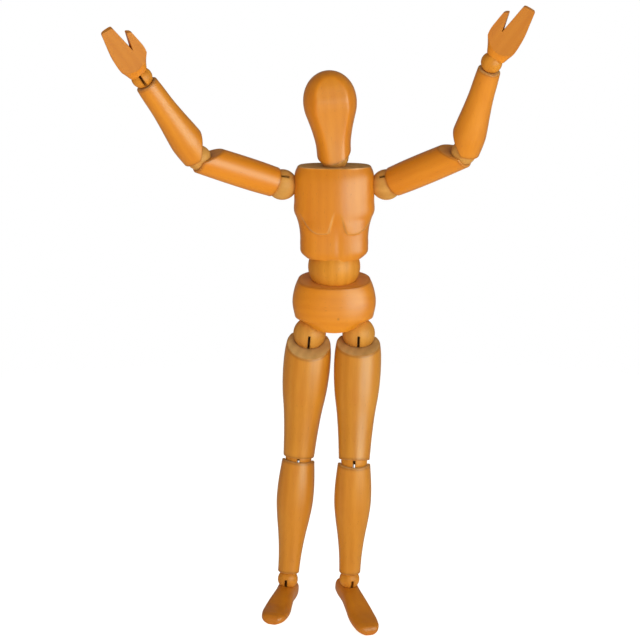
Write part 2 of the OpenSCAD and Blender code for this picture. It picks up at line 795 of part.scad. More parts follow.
module head() {
    color(VARNISHED)
        multmatrix(neck_place)
            difference() {
                rotate([0, -head_lean, 0])
                    difference() {
                        head_solid();
                        rotate([0, 0, -neck_cut_turn])
                            below(neck_cut, neck_cut_slope);
                        before(face_depth, head_wide_at, face_lean);
                        before(brow_depth, brow_at, -brow_lean);
                    }
                sphere(neck_ball_r + seat_gap);
                hook_bore(head_hook_len);
            }
}

module head_hook() {
    multmatrix(neck_place)
        hook_solid(head_hook_len);
}

// Arms
module upper_arm(side) {
    r = upper_arm_w / 2;
    end = upper_arm_len - elbow_gap;
    rim = 1.4;
    stations = [
        [upper_arm_start, r - rim], [upper_arm_start + rim, r - 0.3],
        [upper_arm_len / 2, r], [end - rim, r - 0.2], [end, r - 0.6]
    ];
    color(VARNISHED)
        multmatrix(upper_arm_place(side))
            difference() {
                limb(stations, upper_arm_len, shoulder_ball_r, elbow_ball_r);
                rotate([0, 0, pick(side, elbow_roll_left, elbow_roll_right)])
                    above(upper_arm_len - elbow_cut, elbow_cut_slope);
            }
}

module upper_arm_spring(side) {
    multmatrix(upper_arm_place(side))
        spring_solid(
            upper_arm_len,
            [0, eye_hole_r, eye_offset],
            [pick(side, elbow_roll_left, elbow_roll_right), eye_hole_r, -eye_offset],
            lead(shoulder_ball_r), lead(elbow_ball_r)
        );
}

module forearm(side) {
    r = forearm_w / 2;
    end = forearm_len - wrist_seat;
    rim = 1.2;
    stations = [
        [elbow_gap, r - 1], [forearm_wide_at, r], [forearm_len * 0.72, wrist_w / 2],
        [end - rim, wrist_w / 2 - 0.1], [end, wrist_w / 2 - rim]
    ];
    color(VARNISHED)
        multmatrix(forearm_place(side))
            difference() {
                limb(stations, forearm_len, elbow_ball_r, wrist_ball_r);
                below(elbow_cut, -elbow_cut_slope);
            }
}

module forearm_spring(side) {
    multmatrix(forearm_place(side))
        spring_solid(
            forearm_len,
            [0, eye_hole_r, eye_offset],
            [pick(side, wrist_roll_left, wrist_roll_right), eye_hole_r, -eye_offset],
            lead(elbow_ball_r), lead(wrist_ball_r)
        );
}

// Outline of a hand with its thumb towards +X, fingers along +Y
function hand_outline() = [
    [-hand_root_w / 2, hand_start],
    [-palm_half, hand_start + 8],
    [-palm_half + 0.6, notch_at + 4],
    [-finger_half, hand_len],
    [finger_half, hand_len - 1.4],
    [finger_half + 1.6, notch_at],
    [thumb_out - 3.4, thumb_len],
    [thumb_out - 1, thumb_len - 1.2],
    [thumb_out, notch_at - 4],
    [hand_root_w / 2, hand_start]
];

module hand_blank() {
    rotate([90, 0, 0])
        linear_extrude(hand_t, center = true)
            polygon(hand_outline());
}

// Side view of the hand: flat palm in front, back thinning to the finger tips
module hand_taper() {
    palm = -hand_t / 2;
    rotate([90, 0, 90])
        linear_extrude(through, center = true)
            polygon([
                [palm + 0.8, hand_start - 1], [palm, hand_start + 6], [palm, hand_len + 1],
                [palm + finger_t, hand_len + 1], [hand_t / 2, notch_at], [hand_t / 2, hand_start - 1]
            ]);
}

module hand(side) {
    color(VARNISHED)
        multmatrix(hand_place(side))
            difference() {
                rotate([0, 0, pick(side, hand_twist_left, hand_twist_right)])
                    mirror([pick(side, 1, 0), 0, 0])
                        intersection() {
                            hand_blank();
                            hand_taper();
                        }
                sphere(wrist_ball_r + seat_gap);
                hook_bore(hand_hook_len);
            }
}

module hand_hook(side) {
    multmatrix(hand_place(side))
        hook_solid(hand_hook_len);
}

// Legs
module thigh(side) {
    r = thigh_w / 2;
    end = thigh_len - knee_gap;
    rim = 1;
    stations = [
        [thigh_start, thigh_top_w / 2], [thigh_wide_at, r],
        [end - rim, knee_w / 2], [end, knee_w / 2 - 0.3]
    ];
    color(VARNISHED)
        multmatrix(thigh_place(side))
            difference() {
                limb(stations, thigh_len, hip_ball_r, knee_ball_r);
                below(thigh_cut, -thigh_cut_slope);
                above(thigh_len - knee_gap, -knee_cut_slope);
            }
}

module thigh_spring(side) {
    multmatrix(thigh_place(side))
        spring_solid(
            thigh_len, [0, eye_hole_r, eye_offset], [0, eye_hole_r, -eye_offset],
            lead(hip_ball_r), lead(knee_ball_r)
        );
}

module shin(side) {
    end = shin_len - ankle_seat;
    rim = 1.2;
    stations = [
        [knee_gap, shin_top_w / 2], [calf_wide_at, calf_w / 2], [shin_len * 0.92 - rim, ankle_w / 2],
        [end, ankle_w / 2 - rim]
    ];
    color(VARNISHED)
        multmatrix(shin_place(side))
            difference() {
                limb(stations, shin_len, knee_ball_r, ankle_ball_r);
                below(knee_gap, knee_cut_slope);
            }
}

module shin_spring(side) {
    turn = -side_sign(side) * pick(side, foot_turn_left, foot_turn_right);
    multmatrix(shin_place(side))
        spring_solid(
            shin_len, [0, eye_hole_r, eye_offset], [turn, eye_hole_r, -eye_offset],
            lead(knee_ball_r), lead(ankle_ball_r)
        );
}

// Feet
// Ring of the foot at a place along its length: half width and height above the sole
function foot_ring(along, half_w, height) = [
    for (p = ring(along, half_w, height / 2, foot_square)) [p[0], p[1] + height / 2, p[2]]
];

module foot_block() {
    instep_at = heel_back + ankle_ball_r;
    middle = (instep_at + foot_wide_at) / 2;
    // Distance from the heel, width and height of each ring
    rings = [
        [0, heel_w * 0.62, instep_h * 0.72],
        [heel_round / 3, heel_w * 0.9, instep_h * 0.95],
        [heel_round, heel_w, instep_h],
        [instep_at, heel_w, instep_h],
        [middle, (heel_w + foot_w) / 2, (instep_h + toe_h) * 0.55],
        [foot_wide_at, foot_w, toe_h * 1.1],
        [foot_len - toe_round, foot_w * 0.89, toe_h],
        [foot_len - toe_round / 3, foot_w * 0.7, toe_h * 0.85],
        [foot_len, foot_w * 0.45, toe_h * 0.55]
    ];
    loft([for (r = rings) foot_ring(r[0], r[1] / 2, r[2])]);
}

module foot(side) {
    color(VARNISHED)
        multmatrix(foot_place(side))
            difference() {
                translate([0, heel_back, ankle_height])
                    rotate([-90, 0, 180])
                        foot_block();
                sphere(ankle_ball_r + seat_gap);
                hook_bore(foot_hook_len);
            }
}

module foot_hook(side) {
    multmatrix(foot_place(side))
        hook_solid(foot_hook_len);
}

module limb_ball(name, side) {
    multmatrix(ball_place(name, side))
        ball_solid(ball_r(name), ball_slot(name));
}

module limb_pin(name, side) {
    multmatrix(ball_place(name, side))
        pin_solid(ball_r(name));
}

pelvis();
waist_ball();
chest();
neck_ball();
head();
waist_pin();
neck_pin();
pelvis_nail();
chest_nails();
pelvis_springs();
chest_springs();
head_hook();
for (side = SIDES) {
    for (name = BALLS) {
        limb_ball(name, side);
        limb_pin(name, side);
    }
    upper_arm(side);
    forearm(side);
    thigh(side);
    shin(side);
    upper_arm_spring(side);
    forearm_spring(side);
    thigh_spring(side);
    shin_spring(side);
    hand(side);
    foot(side);
    hand_hook(side);
    foot_hook(side);
}
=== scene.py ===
# %% [markdown]
# # A jointed wooden figure
# An artist's mannequin is a set of turned and carved wooden pieces, strung on springs over
# slotted balls. The frame that is loaded here already holds every piece at its real size and
# knows how it moves. This lesson gives each wooden piece its finished surface, worked out as
# a grid of points with numpy, and gives every surface a wood or steel finish.

# %% Load the frame and keep its box
import json
import math

import bpy
import numpy as np
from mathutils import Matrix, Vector


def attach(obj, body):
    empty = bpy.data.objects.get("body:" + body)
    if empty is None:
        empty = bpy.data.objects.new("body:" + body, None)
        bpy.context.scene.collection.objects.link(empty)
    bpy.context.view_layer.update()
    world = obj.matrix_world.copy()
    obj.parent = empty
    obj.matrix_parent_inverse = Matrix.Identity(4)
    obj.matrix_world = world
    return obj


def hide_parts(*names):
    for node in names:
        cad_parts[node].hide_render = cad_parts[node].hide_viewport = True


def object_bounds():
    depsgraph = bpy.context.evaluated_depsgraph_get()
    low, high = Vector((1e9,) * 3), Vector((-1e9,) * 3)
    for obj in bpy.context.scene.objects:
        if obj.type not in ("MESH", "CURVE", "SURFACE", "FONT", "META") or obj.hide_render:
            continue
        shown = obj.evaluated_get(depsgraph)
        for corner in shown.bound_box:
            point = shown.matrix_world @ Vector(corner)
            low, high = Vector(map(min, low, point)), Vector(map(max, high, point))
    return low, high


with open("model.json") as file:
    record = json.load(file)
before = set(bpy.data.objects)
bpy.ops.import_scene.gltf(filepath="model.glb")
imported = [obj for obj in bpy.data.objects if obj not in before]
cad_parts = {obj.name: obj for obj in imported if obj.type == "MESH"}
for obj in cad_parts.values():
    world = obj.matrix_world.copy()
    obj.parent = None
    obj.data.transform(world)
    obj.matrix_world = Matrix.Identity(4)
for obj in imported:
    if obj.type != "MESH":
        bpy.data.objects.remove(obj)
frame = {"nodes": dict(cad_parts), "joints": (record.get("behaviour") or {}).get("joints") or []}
cad_low, cad_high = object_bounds()
JOINTS = {joint["name"]: joint for joint in frame["joints"]}
SIDES = ("left", "right")
MM = 0.001

# %% [markdown]
# ## Places
# Each piece is shaped in its own plain position, in millimetres, with its length along Z, and
# then put where it belongs. The joints of the frame say where: a ball's centre is where its
# joints are. The places could be typed in, but reading them from the joints keeps every
# surface on its solid.

# %% Places from the joints
UP = np.array([0.0, 0.0, 1.0])
LEFT = np.array([1.0, 0.0, 0.0])


def joint_point(name):
    """Centre of a joint, in metres."""
    return np.array(JOINTS[name]["pos_m"], float)


def joint_axis(name):
    """Unit vector along a joint's axis."""
    axis = np.array(JOINTS[name]["axis"], float)
    return axis / np.linalg.norm(axis)


def make_place(origin, along, pin):
    """Origin and three axes: Z along the piece, X as near the pin as it can be, Y to complete them."""
    z = along / np.linalg.norm(along)
    x = pin - z * (pin @ z)
    x = x / np.linalg.norm(x)
    return origin, np.stack([x, np.cross(z, x), z], axis=1)


waist_place = make_place(joint_point("waist_turn"), UP, LEFT)
neck_place = make_place(joint_point("neck_turn"), joint_axis("neck_turn"), joint_axis("neck_nod"))
print("waist at", waist_place[0].round(4), "neck at", neck_place[0].round(4))

# %% [markdown]
# A limb runs from one ball to the next, and the axis of a ball's bend joint runs along the pin
# through the ball. The two together say how a limb lies and which way its front faces.

# %% Places of the limbs
# Each ball's bend joint, and the sign of the joint's axis along the ball's pin
BENDS = {"shoulder": ("shoulder_swing", 1), "elbow": ("elbow_bend", -1), "wrist": ("wrist_bend", 1),
         "hip": ("hip_flex", 1), "knee": ("knee_bend", 1), "ankle": ("ankle_pitch", 1)}
LIMBS = {"upper_arm": ("shoulder", "elbow"), "forearm": ("elbow", "wrist"),
         "thigh": ("hip", "knee"), "shin": ("knee", "ankle")}


def pin_of(ball, side):
    """Direction of a ball's cross pin."""
    bend, sign = BENDS[ball]
    return sign * joint_axis(f"{bend}_{side}")


def centre_of(ball, side):
    """Centre of a ball."""
    return joint_point(f"{BENDS[ball][0]}_{side}")


def limb_place(near, far, side):
    """Place of a limb that runs from one ball to the next."""
    start = centre_of(near, side)
    return make_place(start, centre_of(far, side) - start, pin_of(near, side))


places = {f"{limb}_{side}": limb_place(*ends, side) for limb, ends in LIMBS.items() for side in SIDES}
print("placed", len(places), "limbs")

# %% [markdown]
# ## From a grid to a mesh
# Every wooden piece here is one closed skin: rows of points that run round it, from a single
# point at one end to a single point at the other. The faces between the rows follow from the
# grid's shape alone, so they are worked out once for any piece. The sign of the volume inside
# tells whether the faces point outwards.

# %% Faces of a grid


def grid_faces(rows, columns):
    """Faces of a grid that closes round in its columns: quads between rows, a fan at each end."""
    index = np.arange(rows * columns).reshape(rows, columns)
    after = np.roll(index, -1, axis=1)
    quads = np.stack([index[:-1], after[:-1], after[1:], index[1:]], axis=-1).reshape(-1, 4)
    first = np.stack([np.full(columns, rows * columns), after[0], index[0]], axis=-1)
    last = np.stack([np.full(columns, rows * columns + 1), index[-1], after[-1]], axis=-1)
    return quads, np.vstack([first, last])


def inside_volume(points, quads, fans):
    """Signed volume of a closed mesh: a sum over its triangles, positive where faces point out."""
    triangles = np.vstack([quads[:, [0, 1, 2]], quads[:, [0, 2, 3]], fans])
    a, b, c = (points[triangles[:, k]] for k in range(3))
    return np.einsum("ij,ij->i", a, np.cross(b, c)).sum() / 6


print("a grid of 3 by 4 has", [len(part) for part in grid_faces(3, 4)], "quads and fan faces")

# %% [markdown]
# A mesh also keeps a few things on each point for the finishes to read: where the point lies in its own
# piece, so that grain follows the piece however it is turned, how much the surface is a sawn cut, which on
# the chest also paints a highlight, how dark it is at a rim or where shade is painted, and how thin its
# coat is. A finished piece then rides on its body and stands for its plain solid.

# %% Mesh of a piece


def put(place, points):
    """Points in millimetres in a place's own axes, as metres in the frame."""
    origin, axes = place
    return points * MM @ axes.T + origin


def keep_values(mesh, grain, values):
    """Stores each point's place in its own piece, and the named values, on a mesh."""
    mesh.attributes.new("grain", "FLOAT_VECTOR", "POINT").data.foreach_set("vector", grain.ravel())
    for name, value in values.items():
        mesh.attributes.new(name, "FLOAT", "POINT").data.foreach_set("value", value.ravel())


def skin(name, grid, place, crease=50, grain=(0, 1, 2), **values):
    """Mesh object from a grid of points in millimetres, shape (rows, columns, 3).

    The first and last rows are single points. Each value has one number for every grid point.
    Edges sharper than the crease, in degrees, stay sharp. The grain runs along the last of the
    three axes that it names.
    """
    rows, columns = grid.shape[0] - 2, grid.shape[1]
    local = np.vstack([grid[1:-1].reshape(-1, 3), grid[0, :1], grid[-1, :1]])
    flat = {key: np.concatenate([v[1:-1].ravel(), v[0, :1], v[-1, :1]]) for key, v in values.items()}
    points = put(place, local)
    quads, fans = grid_faces(rows, columns)
    if inside_volume(points, quads, fans) < 0:
        quads, fans = quads[:, ::-1], fans[:, ::-1]
    mesh = bpy.data.meshes.new(name)
    mesh.from_pydata(points.tolist(), [], quads.tolist() + fans.tolist())
    mesh.polygons.foreach_set("use_smooth", np.ones(len(mesh.polygons), bool))
    mesh.set_sharp_from_angle(angle=math.radians(crease))
    keep_values(mesh, local[:, grain] * MM, flat)
    obj = bpy.data.objects.new(name, mesh)
    bpy.context.scene.collection.objects.link(obj)
    return obj


def finish_piece(obj, node, body, material):
    """Gives a piece its finish and body, and lets it stand for its node."""
    obj.data.materials.append(material)
    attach(obj, body)
    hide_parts(node)
    return obj


print("mesh helpers ready")

# %% [markdown]
# ## Wood
# The figure is turned from a pale, close-grained wood and dipped in an orange varnish. Close
# up there are long fine fibres, faint bands where the yearly rings were cut, soft blotches
# where the wood drank more varnish, and tiny dark flecks. Where the wood was sawn after
# varnishing, it is dull and greyish. A texture could be painted, but a pattern worked out in
# three dimensions runs through the piece as real grain does. A few small helpers keep the
# shader nodes short.

# %% Helpers for shader nodes


def maths(tree, operation, a, b):
    """Maths node on two values, each a socket or a number."""
    node = tree.nodes.new("ShaderNodeMath")
    node.operation = operation
    for socket, value in zip(node.inputs, (a, b)):
        if isinstance(value, (int, float)):
            socket.default_value = value
        else:
            tree.links.new(value, socket)
    return node.outputs[0]


def scaled_and_raised(tree, value, scale, base):
    """The value times a scale, plus a base that is a socket or a number."""
    result = maths(tree, "MULTIPLY_ADD", value, scale)
    if isinstance(base, (int, float)):
        result.node.inputs[2].default_value = base
    else:
        tree.links.new(base, result.node.inputs[2])
    return result


def stretched_noise(tree, vector, stretch, detail, roughness=0.5):
    """Noise whose size along each axis is one over the stretch, in metres."""
    scaled = tree.nodes.new("ShaderNodeVectorMath")
    scaled.operation = "MULTIPLY"
    scaled.inputs[1].default_value = stretch
    tree.links.new(vector, scaled.inputs[0])
    noise = tree.nodes.new("ShaderNodeTexNoise")
    noise.inputs["Scale"].default_value = 1.0
    noise.inputs["Detail"].default_value = detail
    noise.inputs["Roughness"].default_value = roughness
    tree.links.new(scaled.outputs[0], noise.inputs["Vector"])
    return noise.outputs["Fac"]


def spread(tree, value, low, high):
    """Value stretched so that low becomes 0 and high becomes 1, and held there."""
    node = tree.nodes.new("ShaderNodeMapRange")
    node.inputs["From Min"].default_value = low
    node.inputs["From Max"].default_value = high
    tree.links.new(value, node.inputs["Value"])
    return node.outputs["Result"]


print("node helpers ready")

# %% [markdown]
# The grain is one node group that both woods share. It reads the point's place in its own
# piece, and every pattern in it is stretched along the piece's length. The yearly rings lie
# round a pith outside the piece, as in a stick that is split from a log.

# %% Wood grain group
# How often each pattern changes in a metre: twice across the grain, and along it
FIBRE_FINE, BAND_FINE, CLOUD_FINE = (1900, 1900, 45), (260, 190, 9), (38, 38, 26)
STAIN_FINE, FLECK_FINE, SMUDGE_FINE = (85, 85, 24), (2600, 2600, 320), (120, 120, 90)
# Rings: how fine and how wavy they are, how little they change along the grain, and the way from
# their pith to the middle of the piece
RING_FINE, RING_WOBBLE, RING_LONG, FROM_PITH = 62, 5, (1, 1, 0.12), (0.024, 0.017, 0)
# Share of each pattern in the tone
RING_SHARE, BAND_SHARE, FIBRE_SHARE, CLOUD_SHARE = 0.16, 0.32, 0.28, 0.48
# Values of each pattern that become 0 and 1
TONE_SPAN, STAIN_SPAN, FLECK_SPAN, SMUDGE_SPAN = (0.36, 0.86), (0.5, 0.72), (0.7, 0.78), (0.45, 0.75)
GRAIN_OUTPUTS = ("Tone", "Stain", "Fibre", "Fleck", "Smudge")


def ring_pattern(tree, place):
    """Rings round the pith, drawn out along the length."""
    rings = tree.nodes.new("ShaderNodeTexWave")
    rings.wave_type = "RINGS"
    rings.rings_direction = "Z"
    rings.inputs["Scale"].default_value = RING_FINE
    rings.inputs["Distortion"].default_value = RING_WOBBLE
    rings.inputs["Detail"].default_value = 2
    rings.inputs["Detail Scale"].default_value = 0.6
    offset = tree.nodes.new("ShaderNodeVectorMath")
    offset.operation = "MULTIPLY_ADD"
    offset.inputs[1].default_value = RING_LONG
    offset.inputs[2].default_value = FROM_PITH
    tree.links.new(place, offset.inputs[0])
    tree.links.new(offset.outputs[0], rings.inputs["Vector"])
    return rings.outputs["Fac"]


def make_grain_group():
    """Grain group: Tone from dark to light, Stain in blotches, Fibre, small Flecks, Smudge of the gloss."""
    group = bpy.data.node_groups.new("wood_grain", "ShaderNodeTree")
    group.interface.new_socket("Place", in_out="INPUT", socket_type="NodeSocketVector")
    for name in GRAIN_OUTPUTS:
        group.interface.new_socket(name, in_out="OUTPUT", socket_type="NodeSocketFloat")
    place = group.nodes.new("NodeGroupInput").outputs["Place"]
    fibre = stretched_noise(group, place, FIBRE_FINE, 3)
    parts = ((ring_pattern(group, place), RING_SHARE),
             (stretched_noise(group, place, BAND_FINE, 2), BAND_SHARE),
             (fibre, FIBRE_SHARE), (stretched_noise(group, place, CLOUD_FINE, 2), CLOUD_SHARE))
    tone = 0
    for pattern, share in parts:
        tone = scaled_and_raised(group, pattern, share, tone)
    stain = stretched_noise(group, place, STAIN_FINE, 3, 0.55)
    fleck = stretched_noise(group, place, FLECK_FINE, 1)
    smudge = stretched_noise(group, place, SMUDGE_FINE, 4, 0.6)
    values = (spread(group, tone, *TONE_SPAN), spread(group, stain, *STAIN_SPAN), fibre,
              spread(group, fleck, *FLECK_SPAN), spread(group, smudge, *SMUDGE_SPAN))
    result = group.nodes.new("NodeGroupOutput")
    for name, value in zip(GRAIN_OUTPUTS, values):
        group.links.new(value, result.inputs[name])
    return group


grain_group = make_grain_group()
print("grain group with", len(grain_group.nodes), "nodes")

# %% [markdown]
# ## The two wood finishes
# Limbs, blocks, head, hands and feet have the full coat. The balls are paler, with a thinner coat. Both
# finishes mix a dull sawn colour in where a piece was cut, a paler one where the coat is thin, and a dark
# rim colour where the edge value asks for it. That dark is darker wood at edges, on the chest and round a
# knot and scuffs. It is also painted shade in the slots, at the rims of the seats, under the breasts, on
# the palms and on the feet. The colour is built up in that order, as layers that each cover a share of what
# lies below.

# %% Colour of the wood
# Dark and light streaks of the wood where it was sawn, and of the wood under a thin coat
SAWN = ((0.52, 0.29, 0.10), (0.78, 0.47, 0.18))
THIN_COAT = ((0.52, 0.20, 0.014), (0.72, 0.325, 0.04))
# Blotches that took in more of the varnish
RUSSET = (0.56, 0.135, 0.008)
# Greatest share of the colour below that blotches, flecks and the dark rim colour cover; the rim colour
# also paints shade
STAIN_COVER, FLECK_COVER, RIM_AND_SHADE_COVER = 0.3, 0.35, 0.75


def mixed(tree, factor, a, b):
    """Colour mixed from a to b, where each is a socket or a colour."""
    node = tree.nodes.new("ShaderNodeMix")
    node.data_type = "RGBA"
    tree.links.new(factor, node.inputs["Factor"])
    for socket, value in ((node.inputs[6], a), (node.inputs[7], b)):
        if isinstance(value, tuple):
            socket.default_value = (*value, 1)
        else:
            tree.links.new(value, socket)
    return node.outputs[2]


def kept(tree, name):
    """Socket with a number that was kept on the mesh."""
    node = tree.nodes.new("ShaderNodeAttribute")
    node.attribute_name = name
    return node.outputs["Fac"]


def wood_colour(tree, grain, dark, light, rim):
    """Coat in two tones, then thin coat, stains, flecks, sawn wood and rims over it; the rims are partly
    painted shade.
    """
    tone = grain.outputs["Tone"]
    coated = mixed(tree, kept(tree, "pale"), mixed(tree, tone, dark, light), mixed(tree, tone, *THIN_COAT))
    stained = mixed(tree, maths(tree, "MULTIPLY", grain.outputs["Stain"], STAIN_COVER), coated, RUSSET)
    flecked = mixed(tree, maths(tree, "MULTIPLY", grain.outputs["Fleck"], FLECK_COVER), stained, rim)
    faced = mixed(tree, kept(tree, "cut"), flecked, mixed(tree, tone, *SAWN))
    # The edge value mixes in the rim colour: darker wood in places, painted shade in others
    return mixed(tree, maths(tree, "MULTIPLY", kept(tree, "edge"), RIM_AND_SHADE_COVER), faced, rim)


print("colours mixed in 5 layers")

# %% [markdown]
# A clear coat lies over the colour, and it is what gives the soft bright streak down each limb.
# It is missing where the wood was sawn, and its gloss is a little smudged by handling. Its low
# refraction keeps the reflection of the pale room from greying the wood.

# %% Wood finishes
# What smudges and sawing add to the roughness
SMUDGE_ROUGH, SAWN_ROUGH = 0.14, 0.3
# Roughness and refraction of the clear coat, and the shine of the wood below it
COAT_ROUGH, COAT_REFRACTION, WOOD_SHINE = 0.32, 1.3, 0.1
FIBRE_STRENGTH, FIBRE_DEEP = 0.12, 0.4 * MM


def make_wood(name, dark, light, rim, rough, coat):
    """Wood finish from two colours of the coat, one of the rims, which also paints shade, and how rough and
    thick the coat is.
    """
    material = bpy.data.materials.new(name)
    material.use_nodes = True
    tree = material.node_tree
    shader = tree.nodes["Principled BSDF"]
    grain = tree.nodes.new("ShaderNodeGroup")
    grain.node_tree = grain_group
    where = tree.nodes.new("ShaderNodeAttribute")
    where.attribute_name = "grain"
    tree.links.new(where.outputs["Vector"], grain.inputs["Place"])
    tree.links.new(wood_colour(tree, grain, dark, light, rim), shader.inputs["Base Color"])
    cut = kept(tree, "cut")
    smudged = scaled_and_raised(tree, grain.outputs["Smudge"], SMUDGE_ROUGH, rough)
    tree.links.new(scaled_and_raised(tree, cut, SAWN_ROUGH, smudged), shader.inputs["Roughness"])
    tree.links.new(scaled_and_raised(tree, cut, -coat, coat), shader.inputs["Coat Weight"])
    shader.inputs["Coat Roughness"].default_value = COAT_ROUGH
    shader.inputs["Coat IOR"].default_value = COAT_REFRACTION
    shader.inputs["Specular IOR Level"].default_value = WOOD_SHINE
    bump = tree.nodes.new("ShaderNodeBump")
    bump.inputs["Strength"].default_value = FIBRE_STRENGTH
    bump.inputs["Distance"].default_value = FIBRE_DEEP
    tree.links.new(grain.outputs["Fibre"], bump.inputs["Height"])
    tree.links.new(bump.outputs["Normal"], shader.inputs["Normal"])
    return material


# The third colour is the dark rim colour, used also for painted shade
varnished = make_wood("varnished_wood", (0.72, 0.22, 0.006), (0.80, 0.277, 0.011),
                      (0.20, 0.045, 0.006), rough=0.42, coat=1.0)
bare = make_wood("bare_wood", (0.62, 0.20, 0.012), (0.82, 0.31, 0.03),
                 (0.08, 0.022, 0.005), rough=0.45, coat=0.2)
print("finishes:", varnished.name, bare.name)

# %% [markdown]
# ## Balls
# Each joint is a plain turned ball with one narrow saw slot, in which the wire of the next
# piece swings. A ball could be cut with a boolean, but circles about the cross pin give the
# slot for nothing: between two angles the two middle circles simply drop to the slot's floor.
# The slot's floor and a narrow line beside it are painted dark: painted shade in the deep slot.

# %% Shape of a ball
# Half the slot's width, and how far its walls lean in
SLOT_HALF, SLOT_WALL = 0.65, 0.06
# Floor of the slot, as a share of the ball's radius
SLOT_FLOOR = 0.25
# Width of the line of painted shade beside the slot, and how dark it is
SLOT_SHADE_WIDE, SLOT_SHADE_DARK = 0.3, 0.45


def ball_grid(radius, start, stop, rows=34, columns=180):
    """Circles about the pin at x = R sin(a), with radius R cos(a), let in to a floor in the slot."""
    lean = np.linspace(math.asin(SLOT_HALF / radius), math.pi / 2, rows)
    beside = radius * np.sin(lean)
    inner = SLOT_HALF - SLOT_WALL
    x = np.concatenate([-beside[::-1], [-inner, inner], beside])
    angle = np.linspace(-math.pi, math.pi, columns, endpoint=False)
    round_r = np.sqrt(np.maximum(radius**2 - x**2, 0))[:, None]
    in_slot = (angle > math.radians(start)) & (angle < math.radians(stop))
    # The slot's floor is painted fully dark and a line beside it less dark: painted shade
    floor = (np.abs(x) < SLOT_HALF - SLOT_WALL / 2)[:, None] & in_slot
    rho = np.where(floor, SLOT_FLOOR * radius, round_r)
    slot_shade_line = (np.abs(x) < SLOT_HALF + SLOT_SHADE_WIDE)[:, None] & in_slot
    grid = np.stack([x[:, None] + 0 * rho, -rho * np.sin(angle), rho * np.cos(angle)], axis=-1)
    return grid, np.maximum(floor * 1.0, slot_shade_line * SLOT_SHADE_DARK)


print("points on a ball:", ball_grid(1, 0, 90)[0].shape[:2])

# %% [markdown]
# The balls of the shoulders, elbows, neck and hips are handled most when the figure is posed, so their coat
# is the thinnest, and a part of it has come off. Their paleness is also partly a painted highlight, where
# the light catches them.

# %% Balls
# Ball: radius, and the angles of its slot from the ball's own Z towards its front
BALLS = {"shoulder": (8.4, -10, 118), "elbow": (6.8, 0, 85), "wrist": (5.7, -35, 145),
         "hip": (9.0, 0, 90), "knee": (7.2, -90, 95), "ankle": (5.6, -20, 95)}
WAIST_R, WAIST_SLOT = 14.3, (-18, 18)
NECK_R, NECK_SLOT = 7.9, (-18, 6)
# Sign of the turn joint's axis along the ball's own Z, on the left and on the right
TURN_SIGN = {"shoulder": (-1, 1), "elbow": (1, 1), "wrist": (1, 1),
             "hip": (-1, 1), "knee": (-1, 1), "ankle": (1, -1)}
# How thin the coat is, and how much of it has come off; on the balls both are partly a painted highlight
WEAR_AND_HIGHLIGHT = {"shoulder": (0.9, 0.35), "elbow": (0.9, 0.35), "neck": (0.9, 0.35), "hip": (0.7, 0.15)}
PLAIN_WEAR_AND_HIGHLIGHT = (0.35, 0)


def ball_place(ball, side):
    """Place of a ball: Z away from the piece above it, X along its pin."""
    along = TURN_SIGN[ball][SIDES.index(side)] * joint_axis(f"{ball}_turn_{side}")
    return make_place(centre_of(ball, side), along, pin_of(ball, side))


def add_ball(name, place, radius, start, stop):
    """One finished ball, which stands for the node of the same name."""
    grid, edge = ball_grid(radius, start, stop)
    # Paler balls: a thin, partly lost coat, and partly a painted highlight
    thin, worn_and_lit = WEAR_AND_HIGHLIGHT.get(name.split("_")[0], PLAIN_WEAR_AND_HIGHLIGHT)
    cut, pale = np.full_like(edge, worn_and_lit), np.full_like(edge, thin)
    obj = skin(f"{name}_turned", grid, place, cut=cut, edge=edge, pale=pale)
    return finish_piece(obj, name, name, bare)


for side in SIDES:
    for ball, sizes in BALLS.items():
        add_ball(f"{ball}_ball_{side}", ball_place(ball, side), *sizes)
add_ball("waist_ball", waist_place, WAIST_R, *WAIST_SLOT)
add_ball("neck_ball", neck_place, NECK_R, *NECK_SLOT)
print("balls:", 2 * len(BALLS) + 2)

# %% [markdown]
# ## Turned limbs
# Upper arms, forearms, thighs and shins are turned on a lathe, then sawn. Their sides are a
# smooth outline spun round the length. Each end has a seat for its ball, a square face, and on
# most of them a slanted cut that makes room for the bend. The pieces could be cut from spun
# solids with booleans, but one grid over all of it keeps the edges soft.

# %% One end of a limb


class End:
    """One end of a turned piece: a square face, a slanted cut and a ball's seat.

    sign is 1 where the piece starts and -1 where it stops. The cut's height at the middle and
    its rise along a sideways direction are in the piece's own axes.
    """

    def __init__(self, sign, flat, ball, seat, cut=None, degrees=0, lean=(0, 1)):
        self.sign, self.flat, self.ball, self.seat = sign, flat, ball, seat
        self.cut = flat if cut is None else cut
        self.rise = np.array(lean) * math.tan(math.radians(degrees))

    def height(self, x, y):
        """Height of the end over (x, y): the face or the cut, whichever takes more away."""
        slanted = self.cut + self.rise[0] * x + self.rise[1] * y
        return self.sign * np.maximum(self.sign * self.flat, self.sign * slanted)


print("a cut of 45 degrees, 3 mm out, is at", End(1, 0, 0, 5, 0, 45).height(0, 3).round(2), "mm")

# %% [markdown]
# The rows of an end run out of the seat, across the sawn face and round a small soft edge. Where the face
# meets the seat and the side has no simple formula once the cut is slanted, so it is found by halving, for
# all columns at once. The seat's rim and the face beside it are painted dark, as painted shade where the
# ball sits in the seat, and the soft edge is darker too.

# %% Rows of an end
# Size of the soft edge, and its greatest share of the face beside it
EDGE_ROUND, EDGE_SHARE = 0.7, 0.45
SEAT_ROWS, FACE_ROWS, SOFT_ROWS = 9, 5, 5
# Lowest and highest place of an edge along a piece
SEARCH_SPAN = (-40, 120)
# How dark the painted shade at the seat's rim and on the face beside it is, and how dark the soft edge is
SEAT_RIM_SHADE, FACE_RIM_SHADE, EDGE_DARK = 0.8, 0.5, 0.55


def bisect(rises, low, high, steps=40):
    """Where a rising function crosses zero between two arrays, by halving the span."""
    for _ in range(steps):
        middle = (low + high) / 2
        below = rises(middle) < 0
        low, high = np.where(below, middle, low), np.where(below, high, middle)
    return (low + high) / 2


